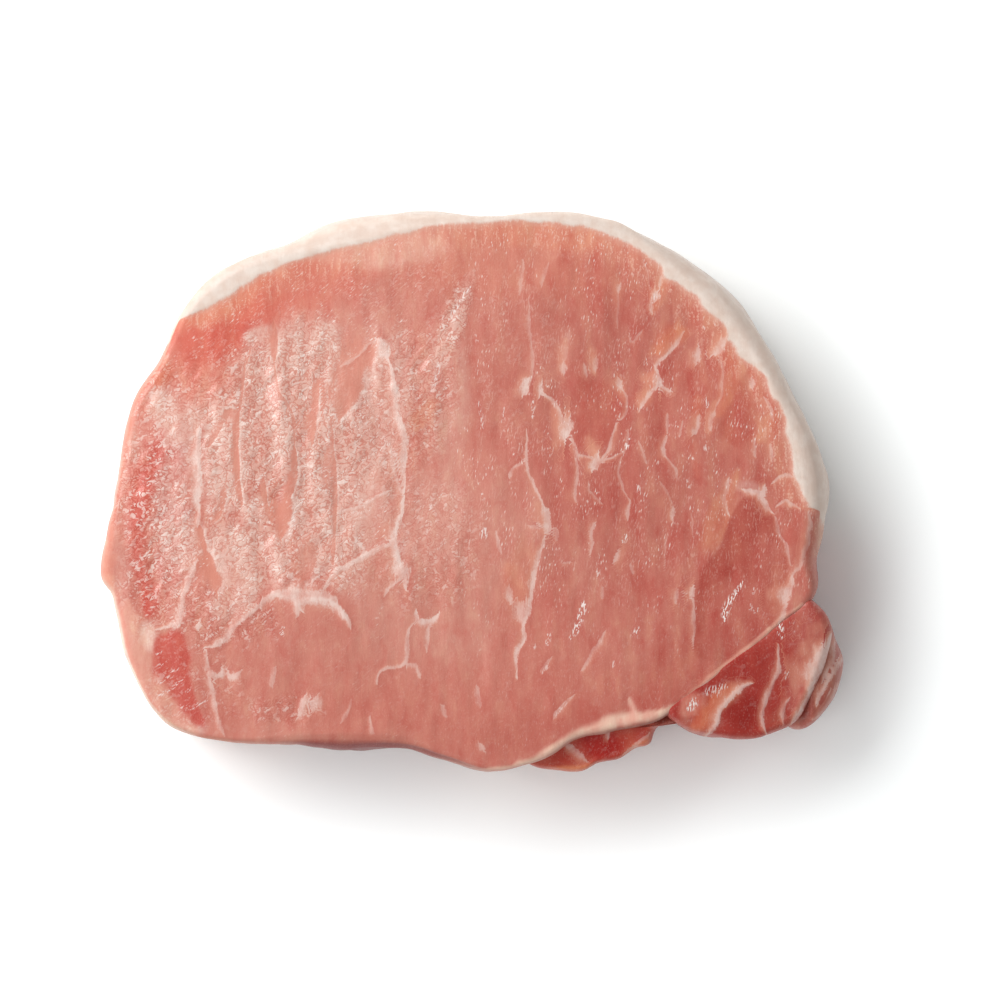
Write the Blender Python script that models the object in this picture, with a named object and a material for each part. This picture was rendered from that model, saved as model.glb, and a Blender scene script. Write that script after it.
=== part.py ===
"""A raw boneless pork loin chop, lying flat on one of its two cut faces.

Metres, +Z up. The origin is under the middle of the chop, on the surface that it
lies on. +X runs along the longer side of the cut face, and +Y towards the fat cap.
The chop is one closed solid. The loin with its fat cap, the side muscle, the thin
outer muscle and the trimmed flap are each lofted ring by ring, then joined.
"""

import math

import bmesh
import bpy
import numpy as np

MM = 0.001  # the sizes below are in millimetres

# Driving sizes.
HALF_LENGTH = 56.0  # of the loin's outline, along X and along Y
HALF_WIDTH = 42.4
CHOP_THICKNESS = 25.0  # from the lower cut face to the middle of the upper one
CROWN_DROP = 1.7  # how much lower the upper face lies at its rim
SWELL_HEIGHT = 0.25  # gentle unevenness of the upper cut face
SWELL_LENGTH = 47.0
SIDE_MUSCLE_STEP = 0.5  # how far the side muscle's face lies under the loin's at their seam
SIDE_MUSCLE_FALL = 0.10  # its slope, falling away from the seam
SIDE_MUSCLE_CURL = 0.008  # and how that slope grows, for each millimetre
OUTER_MUSCLE_TOP = 19.9  # at its inner side
OUTER_MUSCLE_FALL = 0.25  # slope of the outer muscle, falling to the right
OUTER_MUSCLE_STEP = 1.2  # the least that it lies under the side muscle
FLAP_TOP = 22.6  # beside the loin
FLAP_FALL = 0.45  # slope of the flap, falling away from the loin
FLAP_STEP = 1.6  # the least that it lies under the loin

# Where one muscle runs in under its neighbour, its face dives this steeply.
DIVE = 0.7
SEAM_POINT = (39.0, -26.0)  # a point on the seam between the loin and the side muscle
SEAM_NORMAL = (0.607, -0.796)  # pointing from the loin towards the side muscle
OUTER_MUSCLE_EDGE = 51.0  # the outer muscle shows to the right of this X
FLAP_EDGE = -35.0  # and the flap below this Y

# How a side wall is rounded.
FOOT_INSET = 2.6  # the lower cut face stands in this far from the widest level
FOOT_HEIGHT = 5.0
EDGE_RADIUS = 1.0  # soft edge of an upper cut face
FLARE_POWER = 1.6  # how late the wall leans in towards the upper edge
WALL_HOLLOW = 0.7  # how far a stretch of wall sinks in between its foot and its edge
HOLLOWS_PER_LOOP = 7

# Facets.
LOIN_SEGMENTS = 128
SMALL_SEGMENTS = 48
FOOT_RINGS = 4
WALL_RINGS = 6
EDGE_RINGS = 4
LOIN_FACE_RINGS = 9
SMALL_FACE_RINGS = 4
CURVE_STEPS = 40  # between two stations, before a loop is spaced evenly

# Stations round each muscle at its widest level: x, y, and how far the edge of its
# upper face stands in from there. Each loop runs clockwise, seen from above.
FAT_CAP = [
    (-44.4, 26.5, 0.6),
    (-40.0, 31.9, 1.0),
    (-34.6, 35.0, 1.0),
    (-28.1, 37.4, 1.4),
    (-20.2, 41.0, 2.8),
    (-8.0, 42.3, 1.9),
    (2.5, 41.6, 0.4),
    (10.0, 42.3, 0.8),
    (17.7, 41.6, 0.8),
    (25.7, 38.6, 0.6),
    (33.3, 34.5, 1.4),
    (39.3, 29.6, 1.9),
    (44.3, 22.5, 1.2),
    (48.4, 14.7, 1.0),
    (51.8, 7.7, 1.9),
    (54.0, 1.0, 3.0),
    (53.3, -5.0, 2.0),
    (52.0, -10.5, 1.0),
    (52.2, -14.4, 0.7),
]
SEAM_WITH_SIDE_MUSCLE = [
    (50.6, -17.2, 0.6),
    (47.2, -19.6, 0.5),
    (43.3, -23.0, 0.4),
    (37.0, -28.0, 0.4),
    (31.7, -32.2, 0.4),
    (27.5, -34.8, 0.4),
]
LOWER_EDGE = [
    (20.5, -36.3, 0.4),
    (15.5, -37.5, 0.4),
    (10.5, -40.6, 0.4),
    (3.0, -42.4, 0.3),
    (-5.0, -40.5, 0.5),
    (-10.5, -38.9, 0.8),
    (-18.5, -39.1, 2.2),
    (-25.7, -38.3, 1.4),
    (-38.2, -37.8, 0.4),
    (-46.8, -34.7, 0.5),
]
LEFT_END = [
    (-51.9, -26.9, 0.6),
    (-54.0, -18.0, 0.6),
    (-54.5, -15.4, 0.5),
    (-56.1, -12.4, 0.5),
    (-55.2, -6.0, 0.6),
    (-53.6, 3.0, 0.6),
    (-51.4, 13.2, 0.6),
    (-47.4, 19.8, 0.6),
]
LOIN = FAT_CAP + SEAM_WITH_SIDE_MUSCLE + LOWER_EDGE + LEFT_END

SIDE_MUSCLE = [
    (44.0, -12.0, 0.3),
    (48.6, -14.6, 0.3),
    (51.6, -16.9, 0.3),
    (53.3, -19.2, 0.3),
    (53.9, -22.4, 0.5),
    (52.9, -27.0, 0.8),
    (50.8, -31.4, 0.8),
    (48.6, -34.9, 0.6),
    (45.0, -36.7, 0.5),
    (41.0, -37.5, 0.5),
    (35.0, -37.0, 0.5),
    (31.0, -35.4, 0.5),
    (28.6, -32.0, 0.3),
    (33.0, -23.0, 0.3),
    (39.0, -15.0, 0.3),
]
OUTER_MUSCLE = [
    (49.0, -18.0, 0.5),
    (53.4, -19.5, 0.8),
    (54.8, -22.6, 1.0),
    (56.0, -26.4, 1.2),
    (54.9, -31.2, 1.2),
    (51.2, -35.3, 1.0),
    (48.0, -36.0, 0.8),
    (45.0, -32.0, 0.5),
    (45.0, -24.0, 0.5),
]
FLAP = [
    (4.0, -38.0, 0.3),
    (8.6, -41.3, 0.4),
    (13.0, -42.3, 0.5),
    (16.4, -42.4, 0.5),
    (18.8, -41.2, 0.5),
    (22.0, -40.6, 0.5),
    (24.6, -38.9, 0.5),
    (26.6, -38.0, 0.5),
    (28.0, -35.4, 0.5),
    (33.0, -34.6, 0.5),
    (33.0, -31.0, 0.5),
    (18.0, -31.0, 0.5),
    (7.0, -34.0, 0.5),
]


def loin_top(x, y):
    """Height of the loin's upper cut face: a low crown with a soft swell."""
    crown = CROWN_DROP * ((x / HALF_LENGTH) ** 2 + (y / HALF_WIDTH) ** 2)
    turn = 2.0 * math.pi / SWELL_LENGTH
    long_swell = np.sin(turn * (x + 0.3 * y))
    short_swell = 0.6 * np.sin(1.7 * turn * (0.4 * x - y))
    return CHOP_THICKNESS - crown + SWELL_HEIGHT * (long_swell + short_swell)


def side_muscle_top(x, y):
    """Nearly level with the loin along their seam, and curling down away from it."""
    away = SEAM_NORMAL[0] * (x - SEAM_POINT[0]) + SEAM_NORMAL[1] * (y - SEAM_POINT[1])
    outside = np.maximum(away, 0.0)
    inside = np.maximum(-away, 0.0)
    fall = SIDE_MUSCLE_FALL * outside + SIDE_MUSCLE_CURL * outside**2
    return loin_top(x, y) - SIDE_MUSCLE_STEP - fall - DIVE * inside


def outer_muscle_top(x, y):
    """A lower lobe that falls to the right and dives under the side muscle."""
    level = OUTER_MUSCLE_TOP - OUTER_MUSCLE_FALL * (x - OUTER_MUSCLE_EDGE)
    level = np.minimum(level, side_muscle_top(x, y) - OUTER_MUSCLE_STEP)
    return level - DIVE * np.maximum(OUTER_MUSCLE_EDGE - x, 0.0)


def flap_top(x, y):
    """A thin flap that hangs from under the loin's lower edge."""
    level = FLAP_TOP + FLAP_FALL * (y - FLAP_EDGE)
    level = np.minimum(level, loin_top(x, y) - FLAP_STEP)
    return level - DIVE * np.maximum(y - FLAP_EDGE, 0.0)


def smooth_loop(stations, segments):
    """A closed Catmull-Rom curve through the stations, as evenly spaced points."""
    points = np.array(stations)
    steps = np.linspace(0.0, 1.0, CURVE_STEPS, endpoint=False)[:, None]
    pieces = []
    for index in range(len(points)):
        before = points[index - 1]
        start = points[index]
        end = points[(index + 1) % len(points)]
        after = points[(index + 2) % len(points)]
        pieces.append(
            0.5
            * (
                2.0 * start
                + (end - before) * steps
                + (2.0 * before - 5.0 * start + 4.0 * end - after) * steps**2
                + (3.0 * start - before - 3.0 * end + after) * steps**3
            )
        )
    curve = np.concatenate(pieces)
    closed = np.vstack([curve, curve[:1]])
    gaps = np.hypot(*np.diff(closed[:, :2], axis=0).T)
    along = np.concatenate([[0.0], np.cumsum(gaps)])
    wanted = np.linspace(0.0, along[-1], segments, endpoint=False)
    return np.column_stack(
        [np.interp(wanted, along, closed[:, axis]) for axis in range(3)]
    )


def muscle_rings(stations, segments, foot_level, top, face_rings):
    """Rings from the foot of a muscle, up its wall, over its edge and inwards."""
    loop = smooth_loop(stations, segments)
    plan = loop[:, :2]
    flare = loop[:, 2]
    middle = plan.mean(axis=0)
    inward = middle - plan
    reach = np.hypot(*inward.T)
    inward = inward / reach[:, None]

    def ring(inset, height):
        spots = plan + inward * np.broadcast_to(inset, flare.shape)[:, None]
        return np.column_stack([spots, np.broadcast_to(height, flare.shape)])

    edge_spots = plan + inward * (flare + EDGE_RADIUS)[:, None]
    edge_height = top(edge_spots[:, 0], edge_spots[:, 1])
    wall_end = edge_height - EDGE_RADIUS

    rings = []
    for number in range(FOOT_RINGS):
        angle = 0.5 * math.pi * number / FOOT_RINGS
        inset = FOOT_INSET * (1.0 - math.sin(angle))
        height = foot_level + FOOT_HEIGHT * (1.0 - math.cos(angle))
        rings.append(ring(inset, height))
    wall_start = foot_level + FOOT_HEIGHT
    turns = np.linspace(0.0, 2.0 * math.pi * HOLLOWS_PER_LOOP, segments, endpoint=False)
    hollow = WALL_HOLLOW * (0.5 - 0.5 * np.cos(turns))
    for number in range(WALL_RINGS):
        share = number / WALL_RINGS
        height = wall_start + (wall_end - wall_start) * share
        inset = flare * share**FLARE_POWER + hollow * math.sin(math.pi * share)
        rings.append(ring(inset, height))
    for number in range(EDGE_RINGS + 1):
        angle = 0.5 * math.pi * number / EDGE_RINGS
        inset = flare + EDGE_RADIUS * (1.0 - math.cos(angle))
        rings.append(ring(inset, wall_end + EDGE_RADIUS * math.sin(angle)))
    for number in range(1, face_rings):
        share = 1.0 - (number / face_rings) ** 1.3
        spots = middle + (edge_spots - middle) * share
        rings.append(np.column_stack([spots, top(spots[:, 0], spots[:, 1])]))
    centre = np.array([middle[0], middle[1], top(middle[0], middle[1])])
    return rings, centre


def loft(name, rings, centre):
    """Extrude a flat face up through the rings and close it at the centre."""
    mesh = bmesh.new()
    station = mesh.verts.layers.int.new("station")
    bmesh.ops.create_circle(mesh, cap_ends=True, segments=len(rings[0]), radius=1.0)
    for number, corner in enumerate(mesh.verts):
        corner[station] = number
        corner.co = rings[0][number] * MM
    mesh.faces.ensure_lookup_table()
    cap = mesh.faces[0]
    for number, ring in enumerate(rings[1:]):
        grown = bmesh.ops.extrude_face_region(mesh, geom=[cap])["geom"]
        if number > 0:
            mesh.faces.remove(cap)
        cap = next(item for item in grown if isinstance(item, bmesh.types.BMFace))
        for corner in cap.verts:
            corner.co = ring[corner[station]] * MM
    closed = bmesh.ops.poke(mesh, faces=[cap])
    closed["verts"][0].co = centre * MM
    bmesh.ops.recalc_face_normals(mesh, faces=mesh.faces[:])
    data = bpy.data.meshes.new(name)
    mesh.to_mesh(data)
    mesh.free()
    data.shade_smooth()
    return bpy.data.objects.new(name, data)


def raw_pork_material():
    """Moist pink lean meat."""
    material = bpy.data.materials.new("raw_pork")
    material.use_nodes = True
    shader = material.node_tree.nodes["Principled BSDF"]
    shader.inputs["Base Color"].default_value = (0.62, 0.21, 0.16, 1.0)
    shader.inputs["Roughness"].default_value = 0.42
    shader.inputs["Metallic"].default_value = 0.0
    return material


def new_collection(name):
    collection = bpy.data.collections.new(name)
    bpy.context.scene.collection.children.link(collection)
    return collection


def join_muscle(chop, guides, name, rings, centre):
    """Grow one more muscle onto the chop with a union."""
    muscle = loft(name, rings, centre)
    muscle.hide_render = True
    muscle.display_type = "WIRE"
    guides.objects.link(muscle)
    union = chop.modifiers.new(name, "BOOLEAN")
    union.operation = "UNION"
    union.object = muscle


def build_chop():
    parts = new_collection("Pork chop")
    guides = new_collection("Muscles joined to the loin")
    rings, centre = muscle_rings(LOIN, LOIN_SEGMENTS, 0.0, loin_top, LOIN_FACE_RINGS)
    chop = loft("pork_chop", rings, centre)
    chop.data.materials.append(raw_pork_material())
    parts.objects.link(chop)
    small_muscles = [
        ("side_muscle", SIDE_MUSCLE, 0.6, side_muscle_top),
        ("outer_muscle", OUTER_MUSCLE, 1.0, outer_muscle_top),
        ("flap", FLAP, 1.5, flap_top),
    ]
    for name, stations, foot_level, top in small_muscles:
        rings, centre = muscle_rings(
            stations, SMALL_SEGMENTS, foot_level, top, SMALL_FACE_RINGS
        )
        join_muscle(chop, guides, name, rings, centre)


for item in list(bpy.data.objects):
    bpy.data.objects.remove(item)
build_chop()
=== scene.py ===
import math

import bmesh
import bpy
import numpy as np
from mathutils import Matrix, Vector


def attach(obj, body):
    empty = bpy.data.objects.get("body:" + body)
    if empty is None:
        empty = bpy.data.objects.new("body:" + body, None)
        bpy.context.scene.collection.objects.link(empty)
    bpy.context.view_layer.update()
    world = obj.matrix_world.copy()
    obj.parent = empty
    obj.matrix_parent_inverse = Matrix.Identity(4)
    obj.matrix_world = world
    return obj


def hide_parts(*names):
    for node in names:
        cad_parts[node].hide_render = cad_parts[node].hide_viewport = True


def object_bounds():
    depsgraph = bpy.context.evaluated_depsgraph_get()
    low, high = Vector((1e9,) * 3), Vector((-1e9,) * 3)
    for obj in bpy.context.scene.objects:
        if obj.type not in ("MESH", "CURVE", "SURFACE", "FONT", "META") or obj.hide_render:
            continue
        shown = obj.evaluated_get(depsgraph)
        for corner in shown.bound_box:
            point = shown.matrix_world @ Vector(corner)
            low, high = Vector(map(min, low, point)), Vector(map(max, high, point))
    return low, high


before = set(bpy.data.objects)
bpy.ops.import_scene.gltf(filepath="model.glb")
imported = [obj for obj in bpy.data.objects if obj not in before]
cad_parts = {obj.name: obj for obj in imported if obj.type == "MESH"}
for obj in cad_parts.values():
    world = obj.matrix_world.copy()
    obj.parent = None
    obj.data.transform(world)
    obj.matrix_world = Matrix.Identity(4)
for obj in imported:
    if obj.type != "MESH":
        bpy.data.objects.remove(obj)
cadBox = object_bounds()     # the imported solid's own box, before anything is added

mm = 0.001   # plans below are in millimetres, in the frame's own axes


# ---- soft noise and curves, on whole arrays of points ----

def lattice(ix, iy, iz, seed):
    # one repeatable number from 0 to 1 for each lattice corner
    mixed = (ix * 374761393 + iy * 668265263 + iz * 2147483647 + seed * 1274126177) & 0xFFFFFFFF
    mixed = ((mixed ^ (mixed >> 13)) * 1103515245) & 0xFFFFFFFF
    mixed = ((mixed ^ (mixed >> 16)) * 2246822519) & 0xFFFFFFFF
    return ((mixed ^ (mixed >> 15)) & 0xFFFF) / 65535.0


def cloud(x, y, z=0.0, seed=0):
    # smooth noise from -1 to 1, one lump to each unit of length
    x, y, z = np.broadcast_arrays(np.asarray(x, float), np.asarray(y, float), np.asarray(z, float))
    base = [np.floor(axis).astype(np.int64) for axis in (x, y, z)]
    part = [axis - low for axis, low in zip((x, y, z), base)]
    ease = [share * share * (3.0 - 2.0 * share) for share in part]
    total = np.zeros(x.shape)
    for cornerX in (0, 1):
        for cornerY in (0, 1):
            for cornerZ in (0, 1):
                weight = (
                    (ease[0] if cornerX else 1.0 - ease[0])
                    * (ease[1] if cornerY else 1.0 - ease[1])
                    * (ease[2] if cornerZ else 1.0 - ease[2])
                )
                total += weight * lattice(base[0] + cornerX, base[1] + cornerY, base[2] + cornerZ, seed)
    return total * 2.0 - 1.0


def smooth(low, high, value):
    share = np.clip((value - low) / (high - low), 0.0, 1.0)
    return share * share * (3.0 - 2.0 * share)


def curveThrough(points, steps, closed):
    # Catmull-Rom through every point, all columns at once
    points = np.array(points, float)
    count = len(points)
    shares = np.linspace(0.0, 1.0, steps, endpoint=False)[:, None]
    spans = []
    for index in range(count if closed else count - 1):
        if closed:
            a, b, c, d = (points[(index + shift) % count] for shift in (-1, 0, 1, 2))
        else:
            a, b, c, d = (points[min(max(index + shift, 0), count - 1)] for shift in (-1, 0, 1, 2))
        spans.append(0.5 * (
            2.0 * b + (c - a) * shares + (2.0 * a - 5.0 * b + 4.0 * c - d) * shares ** 2
            + (3.0 * b - a - 3.0 * c + d) * shares ** 3
        ))
    if not closed:
        spans.append(points[-1:])
    return np.concatenate(spans)


class RoundTable:
    # a quantity that depends on the direction from a middle point
    def __init__(self, middle, spots, values):
        angles = np.arctan2(spots[:, 1] - middle[1], spots[:, 0] - middle[0])
        order = np.argsort(angles)
        self.angles = angles[order]
        self.values = np.asarray(values)[order]

    def at(self, angle):
        return np.interp(angle, self.angles, self.values, period=2.0 * math.pi)


# ---- the loin's plan ----

# stations run clockwise: x, y, and how far the upper cut edge stands in
loin = {
    "name": "loinWithFatCap",
    "middle": (0.0, 0.0),
    "stations": [
        (-44.4, 26.5, 0.6), (-40.0, 31.9, 1.0), (-34.6, 35.0, 1.0), (-28.1, 37.4, 1.4),
        (-20.2, 41.0, 2.8), (-8.0, 42.3, 1.9), (2.5, 41.6, 0.4), (10.0, 42.3, 0.8),
        (17.7, 41.6, 0.8), (25.7, 38.6, 0.7), (33.3, 34.5, 2.0), (39.3, 29.6, 2.4),
        (44.3, 22.5, 2.0), (48.4, 14.7, 1.8), (51.8, 7.7, 2.1), (54.0, 1.0, 3.1), (53.3, -5.0, 2.4),
        (52.0, -10.5, 1.8), (52.2, -14.4, 1.2), (50.6, -17.2, 0.5), (47.2, -19.6, 0.2),
        (43.3, -23.0, 0.1), (37.0, -28.0, 0.1), (31.7, -32.2, 0.4), (27.5, -34.8, 0.4),
        (20.5, -36.3, 0.4), (15.5, -37.5, 0.4), (10.5, -40.6, 0.4), (3.0, -42.4, 0.3),
        (-5.0, -40.5, 0.9), (-10.5, -39.1, 1.4), (-18.5, -39.4, 2.5), (-25.7, -38.6, 1.6),
        (-38.2, -37.8, 0.4), (-46.8, -34.7, 0.5), (-51.9, -26.9, 0.6), (-54.0, -18.0, 0.6),
        (-54.5, -15.4, 0.5), (-56.1, -12.4, 0.5), (-55.2, -6.0, 0.6), (-53.6, 3.0, 0.6),
        (-51.4, 13.2, 0.6), (-47.4, 19.8, 0.6),
    ],
    "cells": (292, 220),       # cells of the upper face, along X and Y
    "foot": 0.0,
    "edgeRadius": 1.0,
}

# where the lean meat ends and the fat cap starts on the cut face
leanEdge = [
    (-45.6, 24.2), (-42.9, 26.3), (-40.0, 27.4), (-37.2, 28.9), (-34.6, 30.9), (-32.0, 32.4),
    (-29.9, 33.2), (-26.8, 34.4), (-23.4, 35.3), (-20.0, 36.3), (-15.0, 37.7), (-10.0, 38.9),
    (-5.0, 39.9), (0.0, 40.2), (10.0, 40.4), (17.7, 39.3), (21.6, 37.7), (24.4, 36.5), (26.5, 35.3),
    (28.0, 33.7), (28.5, 32.2), (29.4, 31.8), (30.6, 31.5), (32.0, 30.3), (33.4, 29.0),
    (34.2, 27.7), (35.6, 26.4), (37.0, 25.2), (37.9, 23.8), (37.9, 22.5), (38.5, 22.2),
    (39.8, 20.4), (41.2, 19.5), (42.6, 18.4), (43.7, 17.0), (44.2, 15.4), (44.7, 14.2),
    (45.9, 13.1), (46.8, 11.6), (47.0, 9.8), (46.8, 8.6), (47.4, 7.4), (47.8, 5.6), (48.0, 3.0),
    (48.6, 1.4), (49.4, -0.6), (50.3, -2.2), (51.2, -4.0), (52.0, -5.8), (53.6, -7.4),
]


def loinTop(x, y):
    crown = 1.7 * ((x / 56.0) ** 2 + (y / 42.4) ** 2)
    turn = 2.0 * math.pi / 47.0
    across = np.sin(turn * (x + 0.3 * y)) + 0.6 * np.sin(1.7 * turn * (0.4 * x - y))
    return 25.0 - crown + 0.25 * across


# ---- growing a muscle: cut face first, then its edge, wall, foot and underside ----

rounding = {
    "edgeRings": 7,
    "edgeFlare": 0.75,         # share of the flare that the rounded edge takes, for a soft shoulder
    "shoulderDrop": 1.2,       # how far the shoulder comes down, for each millimetre of flare
    "wallStep": 1.0,
    "wallPower": 1.6,
    "footRings": 6,
    "footInset": 2.6,
    "footHeight": 5.0,
    "underStep": 1.3,
    "halvings": (0.38, 0.66, 0.84),    # how far in the underside's rings lose half of their corners
}
loopSteps = 40                 # points between two stations of an outline


def selectNothing():
    bpy.ops.object.select_all(action="DESELECT")


def growRing(piece, placeRing, halve=False):
    # extrude the selected loop once; placeRing turns old spots into new ones
    bpy.ops.mesh.extrude_edges_move()
    mesh = bmesh.from_edit_mesh(piece.data)
    ring = [corner for corner in mesh.verts if corner.select]
    spots = np.array([corner.co[:] for corner in ring]) / mm
    for corner, spot in zip(ring, placeRing(spots)):
        corner.co = spot * mm
    if halve:
        middle = spots.mean(axis=0)
        order = np.argsort(np.arctan2(spots[:, 1] - middle[1], spots[:, 0] - middle[0]))
        targets = {ring[order[k + 1]]: ring[order[k]] for k in range(0, len(order) - 1, 2)}
        bmesh.ops.weld_verts(mesh, targetmap=targets)
        mesh.select_flush(True)
    bmesh.update_edit_mesh(piece.data)


def growMuscle(plan, top):
    selectNothing()
    along, deep = plan["cells"]
    bpy.ops.mesh.primitive_grid_add(x_subdivisions=along, y_subdivisions=deep, size=2.0)
    piece = bpy.context.active_object
    piece.name = plan["name"]
    piece.data.name = plan["name"]
    middle = np.array(plan["middle"])
    loop = curveThrough(plan["stations"], loopSteps, True)
    reach = np.hypot(loop[:, 0] - middle[0], loop[:, 1] - middle[1])
    outer = RoundTable(middle, loop, reach)
    flare = RoundTable(middle, loop, loop[:, 2])
    halfX = 0.5 * (loop[:, 0].max() - loop[:, 0].min())
    halfY = 0.5 * (loop[:, 1].max() - loop[:, 1].min())
    radius = plan["edgeRadius"]

    def ringAt(spots, inset, height):
        # the same directions, at this inset from the widest outline
        angle = np.arctan2(spots[:, 1] - middle[1], spots[:, 0] - middle[0])
        far = outer.at(angle) - inset(angle)
        x = middle[0] + far * np.cos(angle)
        y = middle[1] + far * np.sin(angle)
        return np.column_stack([x, y, height(angle)])

    # square grid onto the round face, with cells of about one size
    data = piece.data
    flat = np.empty(len(data.vertices) * 3)
    data.vertices.foreach_get("co", flat)
    u, v = flat.reshape(-1, 3)[:, :2].T
    wide = np.abs(u) > np.abs(v)
    share = np.where(wide, np.abs(u), np.abs(v))
    safeU = np.where(np.abs(u) < 1e-9, 1e-9, u)
    safeV = np.where(np.abs(v) < 1e-9, 1e-9, v)
    slant = np.where(
        wide,
        0.25 * math.pi * v / safeU + np.where(u < 0.0, math.pi, 0.0),
        0.5 * math.pi - 0.25 * math.pi * u / safeV + np.where(v < 0.0, math.pi, 0.0),
    )
    angle = np.arctan2(halfY * np.sin(slant), halfX * np.cos(slant))
    far = (outer.at(angle) - flare.at(angle) - radius) * share
    x = middle[0] + far * np.cos(angle)
    y = middle[1] + far * np.sin(angle)
    data.vertices.foreach_set("co", (np.column_stack([x, y, top(x, y)]) * mm).ravel())
    data.update()

    def edgeTop(angle):
        far = outer.at(angle) - flare.at(angle) - radius
        return top(middle[0] + far * np.cos(angle), middle[1] + far * np.sin(angle))

    bpy.ops.object.mode_set(mode="EDIT")
    bpy.ops.mesh.select_mode(type="EDGE")
    bpy.ops.mesh.select_all(action="SELECT")
    bpy.ops.mesh.region_to_loop()
    edgeRings = rounding["edgeRings"]
    edgeFlare = rounding["edgeFlare"]
    shoulderDrop = rounding["shoulderDrop"]
    for number in range(1, edgeRings + 1):
        turn = 0.5 * math.pi * number / edgeRings
        growRing(piece, lambda spots: ringAt(
            spots,
            lambda a: (flare.at(a) + radius) - (edgeFlare * flare.at(a) + radius) * math.sin(turn),
            lambda a: edgeTop(a) - (shoulderDrop * flare.at(a) + radius) * (1.0 - math.cos(turn)),
        ), halve=number == edgeRings)
    wallStart = plan["foot"] + rounding["footHeight"]
    wallRings = int(round((edgeTop(0.0) - wallStart) / rounding["wallStep"]))
    for number in range(1, wallRings + 1):
        rise = 1.0 - number / wallRings
        growRing(piece, lambda spots: ringAt(
            spots,
            lambda a: (1.0 - edgeFlare) * flare.at(a) * rise ** rounding["wallPower"],
            lambda a: wallStart + (edgeTop(a) - radius - shoulderDrop * flare.at(a) - wallStart) * rise,
        ))
    footRings = rounding["footRings"]
    footInset = rounding["footInset"]
    for number in range(1, footRings + 1):
        turn = 0.5 * math.pi * number / footRings
        growRing(piece, lambda spots: ringAt(
            spots,
            lambda a: footInset * (1.0 - math.cos(turn)),
            lambda a: np.full(a.shape, plan["foot"] + rounding["footHeight"] * (1.0 - math.sin(turn))),
        ))
    underRings = int((min(halfX, halfY) - footInset) / rounding["underStep"])
    halvings = [int(underRings * share) for share in rounding["halvings"]]
    for number in range(1, underRings):
        keep = 1.0 - number / underRings
        growRing(piece, lambda spots: ringAt(
            spots,
            lambda a: outer.at(a) - (outer.at(a) - footInset) * keep,
            lambda a: np.full(a.shape, plan["foot"]),
        ), halve=number in halvings)
    bpy.ops.mesh.edge_face_add()
    bpy.ops.mesh.poke()
    bpy.ops.mesh.select_all(action="SELECT")
    bpy.ops.mesh.normals_make_consistent(inside=False)
    bpy.ops.object.mode_set(mode="OBJECT")
    bpy.ops.object.shade_smooth()
    print(piece.name, len(piece.data.vertices), "corners", len(piece.data.polygons), "faces")
    return piece


# ---- the small muscles beside the loin ----

sideMuscle = {
    "name": "sideMuscle",
    "middle": (41.5, -26.5),
    "stations": [
        (44.0, -12.0, 0.3), (48.6, -14.6, 0.3), (51.6, -16.9, 0.3), (53.3, -19.2, 0.3),
        (53.9, -22.4, 0.5), (52.9, -27.0, 0.8), (50.8, -31.4, 0.8), (48.6, -34.9, 0.6),
        (45.0, -36.7, 0.5), (41.0, -37.5, 0.5), (35.0, -37.0, 0.5), (31.0, -35.4, 0.5),
        (28.6, -32.0, 0.3), (33.0, -23.0, 0.3), (39.0, -15.0, 0.3),
    ],
    "cells": (84, 84),
    "foot": 0.6,
    "edgeRadius": 1.0,
}
outerMuscle = {
    "name": "outerMuscle",
    "middle": (50.0, -27.0),
    "stations": [
        (49.0, -18.0, 0.5), (53.4, -19.5, 0.8), (54.8, -22.6, 1.0), (56.0, -26.4, 1.2),
        (54.9, -31.2, 1.2), (51.2, -35.3, 1.0), (48.0, -36.0, 0.8), (45.0, -32.0, 0.5),
        (45.0, -24.0, 0.5),
    ],
    "cells": (40, 60),
    "foot": 1.0,
    "edgeRadius": 1.6,
}
flap = {
    "name": "trimmedFlap",
    "middle": (19.0, -36.0),
    "stations": [
        (4.0, -38.0, 0.2), (8.6, -41.3, 0.2), (13.0, -42.3, 0.2), (16.4, -42.4, 0.2),
        (18.8, -41.2, 0.2), (22.0, -40.6, 0.2), (24.6, -38.9, 0.2), (26.6, -38.0, 0.2),
        (28.0, -35.4, 0.3), (33.0, -34.6, 0.3), (33.0, -31.0, 0.3), (18.0, -31.0, 0.3),
        (7.0, -34.0, 0.3),
    ],
    "cells": (80, 40),
    "foot": 1.5,
    "edgeRadius": 1.2,
}


def sideTop(x, y):
    # level with the loin along their seam, falling away from it and dipping under the loin
    away = 0.607 * (x - 39.0) - 0.796 * (y + 26.0)
    outside = np.maximum(away, 0.0)
    buried = np.maximum(-0.4 - away, 0.0)
    return loinTop(x, y) - 0.15 - 0.10 * outside - 0.008 * outside ** 2 - 0.7 * buried


def outerTop(x, y):
    return np.minimum(19.9 - 0.25 * (x - 50.0), sideTop(x, y) - 1.0) - 0.8 * np.maximum(51.0 - x, 0.0)


def flapTop(x, y):
    return np.minimum(22.6 + 0.45 * (y + 34.0), loinTop(x, y) - 1.6) - 0.7 * np.maximum(y + 35.0, 0.0)


# ---- marbling: pale seams across the cut face, each a width, a strength and a path ----

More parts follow.
